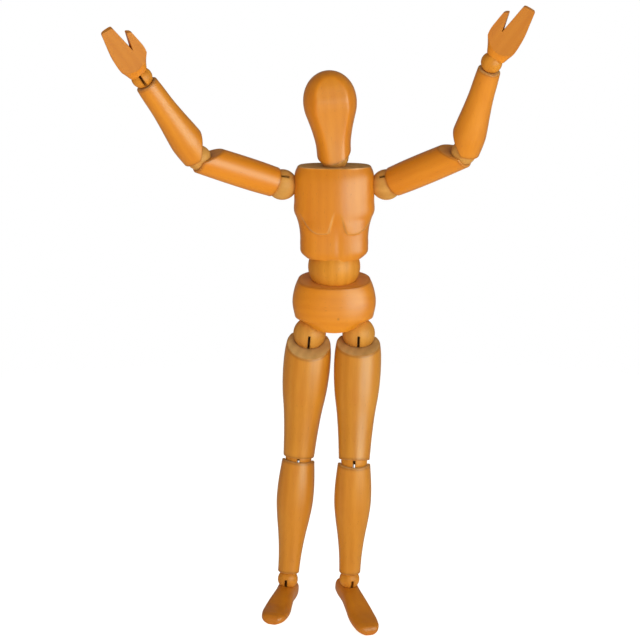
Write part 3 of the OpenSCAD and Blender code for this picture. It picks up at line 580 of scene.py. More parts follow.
def end_rows(end, radius_at, angle):
    """Rows of (radius, height, cut, edge) from the middle of the seat out to the side.

    The seat's rim is where the face meets the seat's sphere, and the outer edge is where it
    meets the side; the edge is a quadratic curve between the two surfaces.
    """
    c, s = np.cos(angle), np.sin(angle)

    def over(rho):
        return end.height(rho * c, rho * s)

    edge_z = bisect(lambda z: z - over(radius_at(z)), *(np.full_like(angle, z) for z in SEARCH_SPAN))
    edge_r = radius_at(edge_z)
    rim_r = bisect(lambda rho: rho**2 + (over(rho) - end.ball)**2 - end.seat**2, 0 * angle, edge_r)
    rim_z = over(rim_r)
    tilt = np.arctan2(rim_r, end.sign * (rim_z - end.ball))
    t = np.linspace(0, 1, SEAT_ROWS)[:, None]
    seat_r, seat_z = end.seat * np.sin(t * tilt), end.ball + end.sign * end.seat * np.cos(t * tilt)
    width = np.hypot(edge_r - rim_r, edge_z - rim_z)
    soft = np.minimum(EDGE_ROUND, EDGE_SHARE * width)
    inner_r = edge_r + (rim_r - edge_r) * soft / np.maximum(width, 1e-6)
    q = np.linspace(0, 1, FACE_ROWS + 1)[1:, None]
    face_r = rim_r + q * (inner_r - rim_r)
    face_z = over(face_r)
    start_z = edge_z + end.sign * soft
    u = np.linspace(0, 1, SOFT_ROWS + 1)[1:, None]
    bow = ((1 - u)**2, 2 * u * (1 - u), u**2)
    soft_r = bow[0] * face_r[-1] + bow[1] * edge_r + bow[2] * radius_at(start_z)
    soft_z = bow[0] * face_z[-1] + bow[1] * edge_z + bow[2] * start_z
    rho, z = np.vstack([seat_r, face_r, soft_r]), np.vstack([seat_z, face_z, soft_z])
    cut = np.vstack([np.ones((SEAT_ROWS + FACE_ROWS, 1)), 1 - u]) + 0 * angle
    # Painted shade at the seat's rim and on the face beside it, and darker wood round the soft edge
    edge = np.vstack([SEAT_RIM_SHADE * t**4, FACE_RIM_SHADE * (1 - q)**2, EDGE_DARK * u]) + 0 * angle
    return rho, z, cut, edge


print("rows at an end:", SEAT_ROWS + FACE_ROWS + SOFT_ROWS)

# %% [markdown]
# Between its two ends a limb is a smooth curve through a few stations, spun round the length.
# The dark of the edges fades out along the side.

# %% Grid of a limb
# Distance in which the dark of an edge fades
DARK_REACH = 0.5


def curve_through(stations, at):
    """Smooth curve through stations (place, value), read at places: a cubic in each span."""
    x, y = np.array(stations, float).T
    slope = np.gradient(y, x)
    i = np.clip(np.searchsorted(x, at) - 1, 0, len(x) - 2)
    span = x[i + 1] - x[i]
    t = np.clip((at - x[i]) / span, 0, 1)
    rise = (2 * t**3 - 3 * t**2 + 1) * y[i] + (3 * t**2 - 2 * t**3) * y[i + 1]
    bow = (t**3 - 2 * t**2 + t) * slope[i] + (t**3 - t**2) * slope[i + 1]
    return rise + bow * span


def limb_grid(stations, near, far, rows=56, columns=128):
    """Grid of a turned piece with its two ends, and its cut and edge values."""
    angle = np.linspace(0, 2 * math.pi, columns, endpoint=False)

    def radius_at(z):
        return curve_through(stations, z)

    first, last = end_rows(near, radius_at, angle), end_rows(far, radius_at, angle)
    t = np.linspace(0, 1, rows)[1:-1, None]
    low, high = first[1][-1], last[1][-1]
    side_z = low + t * (high - low)
    from_edge = np.minimum(side_z - low, high - side_z)
    side = [radius_at(side_z), side_z, 0 * side_z, EDGE_DARK * np.exp(-from_edge / DARK_REACH)]
    rho, z, cut, edge = (np.vstack([a, b, c[::-1]]) for a, b, c in zip(first, side, last))
    return np.stack([rho * np.cos(angle), rho * np.sin(angle), z], axis=-1), cut, edge


print("half way from 1 to 3:", curve_through([(0, 1), (2, 3)], 1))

# %% [markdown]
# The outlines are a few stations along each limb, read off as a turner would mark them on a
# pattern stick: distance from the upper ball's centre, and half the thickness there. The seats
# are a little wider than the balls, and the slanted cuts face the way that the joint bends.

# %% Outlines and ends of the limbs
OUTLINES = {
    "upper_arm": [(5, 8.2), (14, 8.5), (26, 8.6), (40, 8.45), (51.4, 8.2)],
    "forearm": [(0.6, 8.3), (6, 8.8), (11.5, 9.05), (17, 8.6), (25, 7.7), (35, 6.8), (46, 6.4),
                (51.6, 6.1)],
    "thigh": [(1.6, 11.2), (5, 12), (9, 12.6), (16.5, 12.95), (24, 12.8), (32, 12.2), (45, 10.4),
              (58, 9.2), (69.5, 8.5)],
    "shin": [(1, 8.9), (5, 9.3), (17, 10.15), (25, 10.1), (34.5, 9.05), (43.6, 7.65), (53, 6.55),
             (62, 6.0), (65.8, 5.9)]}
# Length of each limb between the centres of its balls
LENGTHS = {"upper_arm": 52, "forearm": 56, "thigh": 70.5, "shin": 70}
# Gap between a ball and its seat
SEAT_GAP = 0.15
# Faces and slanted cuts: distance from the ball's centre, and slope in degrees
SHOULDER_FACE, WRIST_FACE, ANKLE_FACE = 5, 4.4, 4.2
ELBOW_FACE, ELBOW_CUT, ELBOW_SLOPE = 0.6, 1.9, 48
HIP_FACE, HIP_CUT, HIP_SLOPE = 1.6, 4.6, 30
KNEE_FACE, KNEE_SLOPE = 1, 50


def seat_of(ball):
    """Radius of the seat that a ball sits in."""
    return BALLS[ball][0] + SEAT_GAP


def elbow_lean(side):
    """Direction of the elbow's front in the upper arm's own axes, where the far cut rises."""
    axes = places[f"upper_arm_{side}"][1]
    front = np.cross(axes[:, 2], pin_of("elbow", side)) @ axes
    return front[:2] / np.linalg.norm(front[:2])


def limb_ends(limb, side):
    """The two ends of a limb: square faces, ball seats and slanted cuts."""
    length = LENGTHS[limb]
    near, far = (seat_of(ball) for ball in LIMBS[limb])
    if limb == "upper_arm":
        return (End(1, SHOULDER_FACE, 0, near),
                End(-1, length - ELBOW_FACE, length, far, length - ELBOW_CUT, ELBOW_SLOPE,
                    elbow_lean(side)))
    if limb == "forearm":
        return (End(1, ELBOW_FACE, 0, near, ELBOW_CUT, -ELBOW_SLOPE),
                End(-1, length - WRIST_FACE, length, far))
    if limb == "thigh":
        return (End(1, HIP_FACE, 0, near, HIP_CUT, -HIP_SLOPE),
                End(-1, length - KNEE_FACE, length, far, length - KNEE_FACE, -KNEE_SLOPE))
    return (End(1, KNEE_FACE, 0, near, KNEE_FACE, KNEE_SLOPE),
            End(-1, length - ANKLE_FACE, length, far))


print("outlines:", ", ".join(OUTLINES))

# %% [markdown]
# The legs have the thinner coat, so they are paler than the arms. The upper arms were dipped
# after their cuts were made, so their cuts are not as dull as the others.

# %% Limbs
# How thin the coat is on each limb, and how dull its cuts are
THIN_ON = {"upper_arm": 0, "forearm": 0.15, "thigh": 0.6, "shin": 0.5}
SAWN_ON = {"upper_arm": 0.35, "forearm": 1, "thigh": 1, "shin": 1}

for side in SIDES:
    for limb, outline in OUTLINES.items():
        name = f"{limb}_{side}"
        grid, cut, edge = limb_grid(outline, *limb_ends(limb, side))
        pale = np.full_like(cut, THIN_ON[limb])
        piece = skin(f"{name}_turned", grid, places[name], cut=cut * SAWN_ON[limb], edge=edge, pale=pale)
        finish_piece(piece, name, name, varnished)
print("limbs:", 2 * len(OUTLINES))

# %% [markdown]
# ## Chest
# The chest is one block, bandsawn and then carved: a flat sawn top with the neck's seat, flat
# flanks, two breast planes that end in an undercut line, a belly with a shallow groove down
# its middle, and a dish for each shoulder ball. It is an oval whose width and depth follow
# the height, with the carving added as a relief on the front. Sculpting by hand would do too,
# but a relief with a formula keeps both halves alike and the edges crisp.

# %% Soft steps, ovals and dishes


def ramp(value, low, high):
    """Smooth step from 0 at low to 1 at high."""
    t = np.clip((value - low) / (high - low), 0, 1)
    return t * t * (3 - 2 * t)


def oval(angle, half_w, half_d, power):
    """Distance from the middle to a squarish oval: one over the n-th root of |cos/w|^n + |sin/d|^n."""
    across = np.abs(np.cos(angle) / half_w)**power
    return (across + np.abs(np.sin(angle) / half_d)**power)**(-1 / power)


def dish(points, centre, radius, axis, sign):
    """Points inside a ball moved along one axis onto its surface, and which points moved."""
    others = [k for k in range(3) if k != axis]
    left = radius**2 - ((points[..., others] - np.array(centre)[others])**2).sum(-1)
    surface = centre[axis] + sign * np.sqrt(np.maximum(left, 0))
    inside = (left > 0) & (sign * (points[..., axis] - surface) < 0)
    moved = points.copy()
    moved[..., axis] = np.where(inside, surface, points[..., axis])
    return moved, inside


print("corner of an oval of power 3:", round(oval(math.pi / 4, 1, 1, 3), 3), "radii from its middle")

# %% [markdown]
# The breasts are two near-flat planes that meet in a soft ridge. Belly and breastbone are let
# in below and between them, with a chamfer down from each breast's edge. The step grows shallow
# towards the top of the bone.

# %% Carving of the chest
# Middle of the carving, a little to the left of the block's, and height of the breasts' lower edge
CHEST_CENTRE, BREAST_LOW = 1.7, 19.3
# Outer corner of a breast: where its lower edge starts to rise, how wide and how high it rises
CORNER_FROM, CORNER_WIDE, CORNER_HIGH, CORNER_POWER, CORNER_SOFT = 9, 11.5, 11, 2.2, 0.6
# Breastbone: half its width at the breasts' lower edge, how it narrows upwards, and its slope
BONE_HALF, BONE_TAPER, BONE_SLOPE = 4.2, 0.27, 0.8
STEP_DEEP, STEP_FADES, CHAMFER = 1.5, (22, 33), 1.3
GROOVE_DEEP, GROOVE_WIDE, GROOVE_OFF, GROOVE_FADES = 0.3, 1.6, 0.8, (16, 24)
PLANE_DEEP, PLANE_WIDE, PLANE_GROWS, RIDGE_SOFT = 0.9, 17, (8, 36), 5


def breast_relief(x, z):
    """How far the chest's front stands out from its oval, and how far a point is inside a breast.

    Inside is the lesser of two distances, over the lower edge and beside the bone, softly joined.
    The relief is a step down outside it, less a groove, with each plane hollowed by a sine.
    """
    off = np.abs(x - CHEST_CENTRE)
    over = z - BREAST_LOW - CORNER_HIGH * (np.maximum(off - CORNER_FROM, 0) / CORNER_WIDE)**CORNER_POWER
    beside = off - BONE_HALF + BONE_TAPER * (z - BREAST_LOW)
    within = -CORNER_SOFT * np.logaddexp(-over / CORNER_SOFT, -BONE_SLOPE * beside / CORNER_SOFT)
    let_in = -STEP_DEEP * (1 - ramp(z, *STEP_FADES))
    groove = GROOVE_DEEP * np.exp(-((x - CHEST_CENTRE - GROOVE_OFF) / GROOVE_WIDE)**2)
    groove = groove * (1 - ramp(z, *GROOVE_FADES))
    out = np.minimum(np.sqrt(off**2 + RIDGE_SOFT**2) - RIDGE_SOFT, PLANE_WIDE)
    planes = -PLANE_DEEP * np.sin(math.pi * out / PLANE_WIDE) * ramp(z, *PLANE_GROWS)
    return let_in * (1 - ramp(within, 0, CHAMFER)) - groove + planes, within


print("belly is let in by", -breast_relief(CHEST_CENTRE, 10)[0].round(2), "mm")

# %% [markdown]
# The block itself is rows of ovals between two seats. Its stations are heights over the waist
# ball's centre, with half the width and half the depth there. It is squarer at the belly than
# at the shoulders.

# %% Block of the chest
CHEST_WIDE = [(5.6, 15.2), (7.8, 17.75), (12.3, 18.6), (16.7, 18.6), (23.4, 19.4), (27.8, 20.75),
              (30, 21.7), (37, 21.85), (46, 21.75), (52.3, 21.3), (55.6, 19.9)]
CHEST_DEEP = [(5.6, 14.2), (7.8, 14.9), (16, 15.2), (24, 15.6), (32, 15.9), (40, 15.7), (50.6, 14.3),
              (55.6, 12.6)]
# Heights of the bottom, the top and the neck ball's centre, and the rounding of the top
CHEST_LOW, CHEST_TOP, NECK_Z, TOP_ROUND = 5.6, 55.6, 60.8, 0.5
CHEST_POWER, BELLY_SQUARER, SQUARER_BELOW = 2.6, 0.9, (20, 28)
CHEST_SEAT_ROWS, CHEST_LID_ROWS = 10, 12


def chest_block(rows, columns):
    """Rows from the waist's seat over the bottom, the wall and the top to the neck's seat."""
    angle = np.linspace(0, 2 * math.pi, columns, endpoint=False)
    waist_seat, neck_seat = WAIST_R + SEAT_GAP, NECK_R + SEAT_GAP
    t = np.linspace(0, 1, CHEST_SEAT_ROWS)[:, None]
    rim = math.acos(CHEST_LOW / waist_seat)
    seat_r, seat_z = waist_seat * np.sin(rim * t), waist_seat * np.cos(rim * t)
    z = np.linspace(CHEST_LOW, CHEST_TOP - TOP_ROUND, rows)[:, None]
    power = CHEST_POWER + BELLY_SQUARER * (1 - ramp(z, *SQUARER_BELOW))
    wall_r = oval(angle, curve_through(CHEST_WIDE, z), curve_through(CHEST_DEEP, z), power)
    top_r = oval(angle, CHEST_WIDE[-1][1] - TOP_ROUND, CHEST_DEEP[-1][1] - TOP_ROUND, CHEST_POWER)
    mouth = math.asin(math.sqrt(neck_seat**2 - (NECK_Z - CHEST_TOP)**2) / neck_seat)
    q = np.linspace(0, 1, CHEST_LID_ROWS)[:, None]
    lid_r = top_r + q * (neck_seat * math.sin(mouth) - top_r)
    dip = mouth * (1 - t[1:])
    dip_r, dip_z = neck_seat * np.sin(dip), NECK_Z - neck_seat * np.cos(dip)
    rho = np.vstack([seat_r + 0 * angle, wall_r, lid_r, dip_r + 0 * angle])
    height = np.vstack([seat_z, z, CHEST_TOP + 0 * q, dip_z]) + 0 * angle
    return np.stack([rho * np.cos(angle), rho * np.sin(angle), height], axis=-1)


print("rows of the chest:", len(chest_block(150, 8)))

# %% [markdown]
# Then come the carving, a small tip at the bottom of the belly, and the dishes for the shoulder balls. A
# pale line along the breasts' lower edge is a painted highlight, where the chamfer catches the light from
# below, and a dark line just under it is painted shade.

# %% Chest
# Centres of the shoulder balls, across and up from the waist ball
SHOULDER_X, SHOULDER_Z = 28.4, 45.2
# Where the front of the oval takes the carving, as distances forward of its middle
FRONT_FROM, FRONT_FULL = 0.5, 6
# Tip of the belly: across, half width, sharpness, drop, and the height where it fades
TIP_AT, TIP_WIDE, TIP_POWER, TIP_DROP, TIP_TOP = 2.4, 6, 1.4, 1.3, 13
# How dull the waist's seat and the painted highlight on the chamfer are, how dark the wall is, and how dark
# the painted shade under the chamfer is
WAIST_SAWN, HIGHLIGHT_SAWN, WALL_DARK, UNDER_SHADE_DARK = 0.15, 0.55, 0.1, 0.08
# Painted shade line and painted highlight line: how far inside a breast, half width, and the heights where
# both fade
UNDER_SHADE_AT, UNDER_SHADE_WIDE, HIGHLIGHT_AT, HIGHLIGHT_WIDE, MARKS_FADE = -0.5, 0.4, 0.6 * CHAMFER, 0.5, (25, 34)


def chest_grid(rows=150, columns=360):
    """Carved block with its cut and edge values."""
    points = chest_block(rows, columns)
    height = points[..., 2].copy()
    on_wall = np.zeros(height.shape, bool)
    on_wall[CHEST_SEAT_ROWS:CHEST_SEAT_ROWS + rows] = True
    front = ramp(-points[..., 1], FRONT_FROM, FRONT_FULL) * on_wall
    relief, within = breast_relief(points[..., 0], height)
    points[..., 1] -= relief * front
    tip = np.exp(-(np.abs(points[..., 0] - TIP_AT) / TIP_WIDE)**TIP_POWER)
    points[..., 2] -= TIP_DROP * tip * (1 - ramp(height, CHEST_LOW, TIP_TOP)) * front
    marks = (1 - ramp(height, *MARKS_FADE)) * front
    # Painted shade just under the breasts' edge, and a painted highlight along the chamfer
    under = np.exp(-((within - UNDER_SHADE_AT) / UNDER_SHADE_WIDE)**2) * marks
    painted_highlight = np.exp(-((within - HIGHLIGHT_AT) / HIGHLIGHT_WIDE)**2) * marks
    cut = np.where(on_wall, 0.0, 1.0)
    cut[:CHEST_SEAT_ROWS] = WAIST_SAWN
    cut = np.maximum(cut, HIGHLIGHT_SAWN * painted_highlight)
    edge = (WALL_DARK * on_wall + UNDER_SHADE_DARK * under) * (1 - painted_highlight)
    for sign in (-1, 1):
        points, inside = dish(points, (sign * SHOULDER_X, 0, SHOULDER_Z), seat_of("shoulder"), 0, -sign)
        cut = np.where(inside, 1.0, cut)
    return points, cut, edge


grid, cut, edge = chest_grid()
chest = skin("chest_carved", grid, waist_place, crease=35, cut=cut, edge=edge)
finish_piece(chest, "chest", "chest", varnished)
print("chest:", len(chest.data.polygons), "faces")

# %% [markdown]
# ## Pelvis
# The pelvis is a rounded block whose flat sawn top slopes down to the front. It has a seat for
# the waist ball, a socket under each side for a hip ball, and behind them a plain bore for the
# rod of a stand. The rows run out of the bore, over the underside, up the swelling side and
# across the top into the waist's seat. A subdivided cube could be pushed into this shape, but
# rows of ovals keep the measured widths.

# %% Block of the pelvis
# Height over the underside, with half the width, half the depth and the share of the top's slope
PELVIS_WIDE = [(0, 13), (3, 17.5), (6, 20.4), (11, 22.1), (16, 22.9), (22.5, 22.1), (26, 21.0),
               (29, 19.6)]
PELVIS_DEEP = [(0, 13.5), (3, 14.7), (6, 15.55), (11, 16.3), (16, 16.5), (22.5, 16.1), (26, 15.6),
               (29, 15)]
PELVIS_TILT = [(0, 0), (6, 0), (11, 0.25), (16, 0.34), (22.5, 0.7), (29, 1)]
PELVIS_TOP, TOP_SLOPE, PELVIS_POWER, WAIST_Z = 29, 11, 2.3, 36
# The brim's rounding: down the side, and in from it
BRIM_DOWN, BRIM_IN = 0.4, 0.5
BORE_R, BORE_DEEP, BORE_BACK = 2, 16, 9.5
BORE_ROWS, UNDER_ROWS = 5, 43
# Rows of the bore and its end, and of the underside
BELOW_ROWS = 1 + BORE_ROWS + UNDER_ROWS


def pelvis_block(rows, columns):
    """Rows from the bore over the underside, the side and the sloping top to the waist's seat."""
    angle = np.linspace(0, 2 * math.pi, columns, endpoint=False)
    c, s = np.cos(angle), np.sin(angle)
    slope = math.tan(math.radians(TOP_SLOPE))
    z = np.linspace(0, PELVIS_TOP - BRIM_DOWN, rows)[:, None]
    r = oval(angle, curve_through(PELVIS_WIDE, z), curve_through(PELVIS_DEEP, z), PELVIS_POWER)
    side = np.stack([r * c, r * s, z + r * s * slope * curve_through(PELVIS_TILT, z)], axis=-1)
    ring = np.stack([BORE_R * c, BORE_BACK + BORE_R * s, 0 * angle], axis=-1)
    q = np.linspace(0, 1, UNDER_ROWS + 1)[:-1, None, None]
    under = ring + q * (side[0] - ring)
    bore = ring + np.linspace(BORE_DEEP, 0, BORE_ROWS + 1)[:-1, None, None] * np.array([0, 0, 1])
    end = np.tile(np.array([0, BORE_BACK, BORE_DEEP]), (1, columns, 1))
    top = End(-1, 2 * PELVIS_TOP, WAIST_Z, WAIST_R + SEAT_GAP, PELVIS_TOP, TOP_SLOPE)
    brim = oval(angle, PELVIS_WIDE[-1][1], PELVIS_DEEP[-1][1], PELVIS_POWER) - BRIM_IN
    seat, seat_z, _, _ = end_rows(top, lambda height: brim, angle)
    lid = np.stack([seat * c, seat * s, seat_z], axis=-1)[SEAT_ROWS + FACE_ROWS - 1::-1]
    return np.vstack([end, bore, under, side, lid])


print("rows of the pelvis:", len(pelvis_block(72, 8)))

# %% [markdown]
# The underside is rounded up towards the hips and the front, and the sockets are points lifted
# onto a ball. The grain of this block runs from side to side, and there is a small dark knot in
# its front.

# %% Pelvis
HIP_X, HIP_Z = 13.5, -1.5
# Rise of the underside at the hips and at the front, where it is reached, and where it fades
HIP_LIFT, HIP_LIFT_AT, FRONT_LIFT, FRONT_LIFT_AT, LIFT_FADES = 3.4, 17, 1.2, 12, 9
# How dull the top and the underside are, and how dark the brim is
TOP_SAWN, UNDER_SAWN, BRIM_DARK = 0.3, 0.5, 0.35
# Knot: across, height, radius and how dark it is
KNOT_X, KNOT_Z, KNOT_R, KNOT_DARK = 2.3, 9.5, 0.6, 0.7
pelvis_place = make_place(np.array([0, -BORE_BACK * MM, 0]), UP, LEFT)


def pelvis_grid(rows=72, columns=320):
    """Block with a rounded underside and hip sockets, and its cut and edge values."""
    points = pelvis_block(rows, columns)
    x, y, height = (points[..., k] for k in range(3))
    lift = HIP_LIFT * (x / HIP_LIFT_AT)**2 + FRONT_LIFT * ramp(-y, 0, FRONT_LIFT_AT)
    height += lift * (1 - ramp(height, 0, LIFT_FADES))
    cut = np.full(height.shape, TOP_SAWN)
    cut[:BELOW_ROWS] = UNDER_SAWN
    cut[BELOW_ROWS:BELOW_ROWS + rows] = 0
    edge = np.zeros_like(cut)
    edge[BELOW_ROWS + rows - 2:BELOW_ROWS + rows] = BRIM_DARK
    knot = np.exp(-((x - KNOT_X)**2 + (height - KNOT_Z)**2) / KNOT_R**2) * (y < 0)
    edge = np.maximum(edge, KNOT_DARK * knot)
    for sign in (-1, 1):
        points, inside = dish(points, (sign * HIP_X, 0, HIP_Z), seat_of("hip"), 2, 1)
        cut = np.where(inside, 1.0, cut)
    return points, cut, edge


grid, cut, edge = pelvis_grid()
pelvis = skin("pelvis_carved", grid, pelvis_place, crease=35, grain=(2, 1, 0), cut=cut, edge=edge)
finish_piece(pelvis, "pelvis", "pelvis", varnished)
print("pelvis:", len(pelvis.data.polygons), "faces")

# %% [markdown]
# ## Head
# The head is a turned egg on a short neck, with no features: one planed strip from the forehead
# to the neck is all the face it has. Its underside is sawn at a slant over the neck ball. The
# egg is spun as the limbs are, and the face is a soft limit on how far forward a point may
# stand, given by a few stations up the face. Two faint scuffs sit on the forehead.

# %% Outline of the head
HEAD_TOP, HEAD_WIDE_AT, HEAD_R, CROWN_POWER = 47, 29.6, 14.6, 2.15
NECK_OUTLINE = [(-6, 9.3), (0.7, 9.3), (7.4, 9.6), (11.8, 10.4), (16.3, 11.5), (20.7, 12.8),
                (25.2, 14.1), (29.6, 14.6), (34, 14.6)]
# Height over the neck ball, and how far forward the face stands there
FACE = [(-8, 8.3), (2, 8.3), (6, 8.2), (10, 8.5), (21, 10.1), (28, 11.4), (31, 11.7), (35.4, 11.0),
        (41.2, 9.4), (43.4, 8.4), (47, 6)]


def head_radius(z):
    """Half width at a height: the outline of neck and cheeks, then a dome that closes at the crown."""
    up = np.clip((z - HEAD_WIDE_AT) / (HEAD_TOP - HEAD_WIDE_AT), 0, 1)
    dome = HEAD_R * np.sqrt(np.maximum(1 - up**CROWN_POWER, 0))
    return np.where(z > HEAD_WIDE_AT, dome, curve_through(NECK_OUTLINE, z))


print("head is widest with", head_radius(HEAD_WIDE_AT), "mm to each side")

# %% [markdown]
# The neck's cut is an end like those of the limbs, with a slant and no square face. The planed
# face is a little paler than the turned wood. The head leans a little on its hook.

# %% Head
NECK_CUT, NECK_SLOPE, NECK_TURN = 1.7, 31, math.radians(17)
# Height of the neck's square face, far below the cut
NO_FACE = -20
# Softness of the face's edge, how thin its coat is, and the planed depths where that starts and ends
FACE_SOFT, FACE_PALE, PALE_FROM, PALE_FULL = 0.28, 0.25, 0.2, 1
HEAD_LEAN = 3.5
# Scuffs: across, up, half width, half height
SCUFFS = [(4.6, 36.6, 1.3, 0.35), (6.3, 35.4, 0.8, 0.3)]
SCUFF_DARK = 0.16


def leaned(place, degrees):
    """The place turned about its own Y axis."""
    a = math.radians(degrees)
    turn = np.array([[math.cos(a), 0, math.sin(a)], [0, 1, 0], [-math.sin(a), 0, math.cos(a)]])
    return place[0], place[1] @ turn


def head_grid(rows=96, columns=220):
    """Rows from the neck's seat over the slanted cut and the side to the crown, planed at the face."""
    angle = np.linspace(0, 2 * math.pi, columns, endpoint=False)
    towards = (math.sin(NECK_TURN), math.cos(NECK_TURN))
    neck = End(1, NO_FACE, 0, NECK_R + SEAT_GAP, NECK_CUT, NECK_SLOPE, towards)
    rho, z, cut, edge = end_rows(neck, head_radius, angle)
    low = z[-1]
    t = np.sin(np.linspace(0, math.pi / 2, rows))[1:, None]
    side_z = low + t * (HEAD_TOP - low)
    z = np.vstack([z, side_z])
    rho = np.vstack([rho, head_radius(side_z)])
    edge = np.vstack([edge, EDGE_DARK * np.exp(-(side_z - low) / DARK_REACH)])
    cut = np.vstack([cut, 0 * side_z])
    x, y = rho * np.cos(angle), rho * np.sin(angle)
    plane = -curve_through(FACE, z)
    planed = plane + FACE_SOFT * np.logaddexp(0, (y - plane) / FACE_SOFT)
    on_side = np.arange(len(z))[:, None] >= SEAT_ROWS + FACE_ROWS
    pale = FACE_PALE * ramp(planed - y, PALE_FROM, PALE_FULL) * on_side
    y = np.where(on_side, planed, y)
    for across, up, wide, high in SCUFFS:
        scuff = np.exp(-((x - across) / wide)**2 - ((z - up) / high)**2)
        edge = edge + SCUFF_DARK * scuff * (y < 0)
    return np.stack([x, y, z], axis=-1), cut, edge, pale


grid, cut, edge, pale = head_grid()
head = skin("head_turned", grid, leaned(neck_place, -HEAD_LEAN), cut=cut, edge=edge, pale=pale)
finish_piece(head, "head", "head", varnished)
print("head:", len(head.data.polygons), "faces")

# %% [markdown]
# ## Hands
# A hand is turned as a round, pear-shaped body, planed flat for the palm, and sawn to an
# outline with one notch that leaves a mitten of fingers and a thumb. It could be extruded from
# the outline, but then it would be flat on both sides. Here the outline gives the edge, and
# the depth of the turned body gives the palm and the back.

# %% Outline and depth of a hand
# Outline of a right hand, across and along, and how far each corner is rounded
HAND_CORNERS = [(-5.4, 4, 0.3), (-7.4, 12, 4), (-6.8, 22.2, 5), (-3.4, 38.3, 1.2), (3.1, 37.2, 1.2),
                (4.7, 18.4, 0.7), (7.6, 29.6, 0.8), (9.9, 28.4, 1.0), (11, 14.2, 5), (5.4, 4, 0.3)]
# The turned body along the hand: its two sides, and its depth behind and in front of its middle
HULL_LEFT = [(4, -5.4), (12, -7.4), (22.2, -6.9), (38.5, -3.5)]
HULL_RIGHT = [(4, 5.4), (14.2, 10.9), (28.3, 10.2), (38.5, 8.6)]
BACK_DEEP = [(4, 5.4), (15, 6.4), (26, 4.6), (38.5, 2.5)]
FRONT_DEEP = [(4, 4.0), (8, 4.3), (10, 4.8), (14, 6.4), (18, 7.4), (38.5, 7.4)]
HAND_POWER = 2.4
# How far the middle of the body moves forward along the hand, and between which places
MIDDLE_FORWARD, MIDDLE_SPAN = 3.2, (6, 18)
# Palm: how far forward its plane lies, its slope, and where that is measured
PALM_FORWARD, PALM_SLOPE, PALM_FROM = 4.4, 0.03, 8


def rounded_outline(corners, columns):
    """Closed outline with a quadratic curve at each corner, as points evenly spaced along it."""
    spots, reach = np.array(corners, float)[:, :2], np.array(corners, float)[:, 2:]
    back, ahead = np.roll(spots, 1, axis=0) - spots, np.roll(spots, -1, axis=0) - spots
    start = spots + back * reach / np.linalg.norm(back, axis=1, keepdims=True)
    stop = spots + ahead * reach / np.linalg.norm(ahead, axis=1, keepdims=True)
    t = np.linspace(0, 1, 9)[None, :, None]
    curve = (1 - t)**2 * start[:, None] + 2 * t * (1 - t) * spots[:, None] + t**2 * stop[:, None]
    line = np.vstack([curve.reshape(-1, 2), curve[0, :1]])
    run = np.concatenate([[0], np.cumsum(np.linalg.norm(np.diff(line, axis=0), axis=1))])
    at = np.linspace(0, run[-1], columns, endpoint=False)
    return np.stack([np.interp(at, run, line[:, k]) for k in range(2)], axis=-1)


def hand_depths(x, z):
    """Front and back of the hand at a point, and where its rounded body is planed for the palm."""
    left, right = (np.interp(z, *np.array(hull).T) for hull in (HULL_LEFT, HULL_RIGHT))
    across = np.clip(np.abs(2 * x - left - right) / (right - left), 0, 1)
    dome = (1 - across**HAND_POWER)**(1 / HAND_POWER)
    middle = -MIDDLE_FORWARD * ramp(z, *MIDDLE_SPAN)
    body = middle - curve_through(FRONT_DEEP, z) * dome
    palm = -PALM_FORWARD + PALM_SLOPE * (z - PALM_FROM)
    return np.maximum(body, palm), middle + curve_through(BACK_DEEP, z) * dome, body < palm


print("hand outline of", len(HAND_CORNERS), "corners")

# %% [markdown]
# The outline can be seen whole from one point in the palm, so rings that shrink towards that
# point cover the palm and the back, and a few rows between them make the sawn walls. A wrist
# bends as far to either side of a straight hand, so the middle of its joint's range tells how
# far the hand is bent at rest.

# %% Hands
# Point of the palm that sees the whole outline, across and along
PALM_POINT = (4.2, 12)
# Turn of each hand about its own length, in degrees
HAND_TWIST = {"left": -108, "right": 9}
# How dull the palm is; how dark it is, partly the planed wood's own colour and partly painted shade; and
# how dull the sawn walls are
PALM_SAWN, PALM_DARK_AND_SHADE, WALL_SAWN = 0.1, 0.35, 0.15
HAND_WALL_ROWS = 14
# How much closer the rings are towards the outline
RING_CROWD = 1.8


def bent(place, degrees):
    """The place turned about its own X axis, which runs along the pin."""
    a = math.radians(degrees)
    turn = np.array([[1, 0, 0], [0, math.cos(a), -math.sin(a)], [0, math.sin(a), math.cos(a)]])
    return place[0], place[1] @ turn


def rest_place(ball, side):
    """Place of the piece below a ball at rest: straight, less the middle of its joint's range."""
    bend = sum(JOINTS[f"{BENDS[ball][0]}_{side}"]["range_deg"]) / 2
    return bent(ball_place(ball, side), -bend)


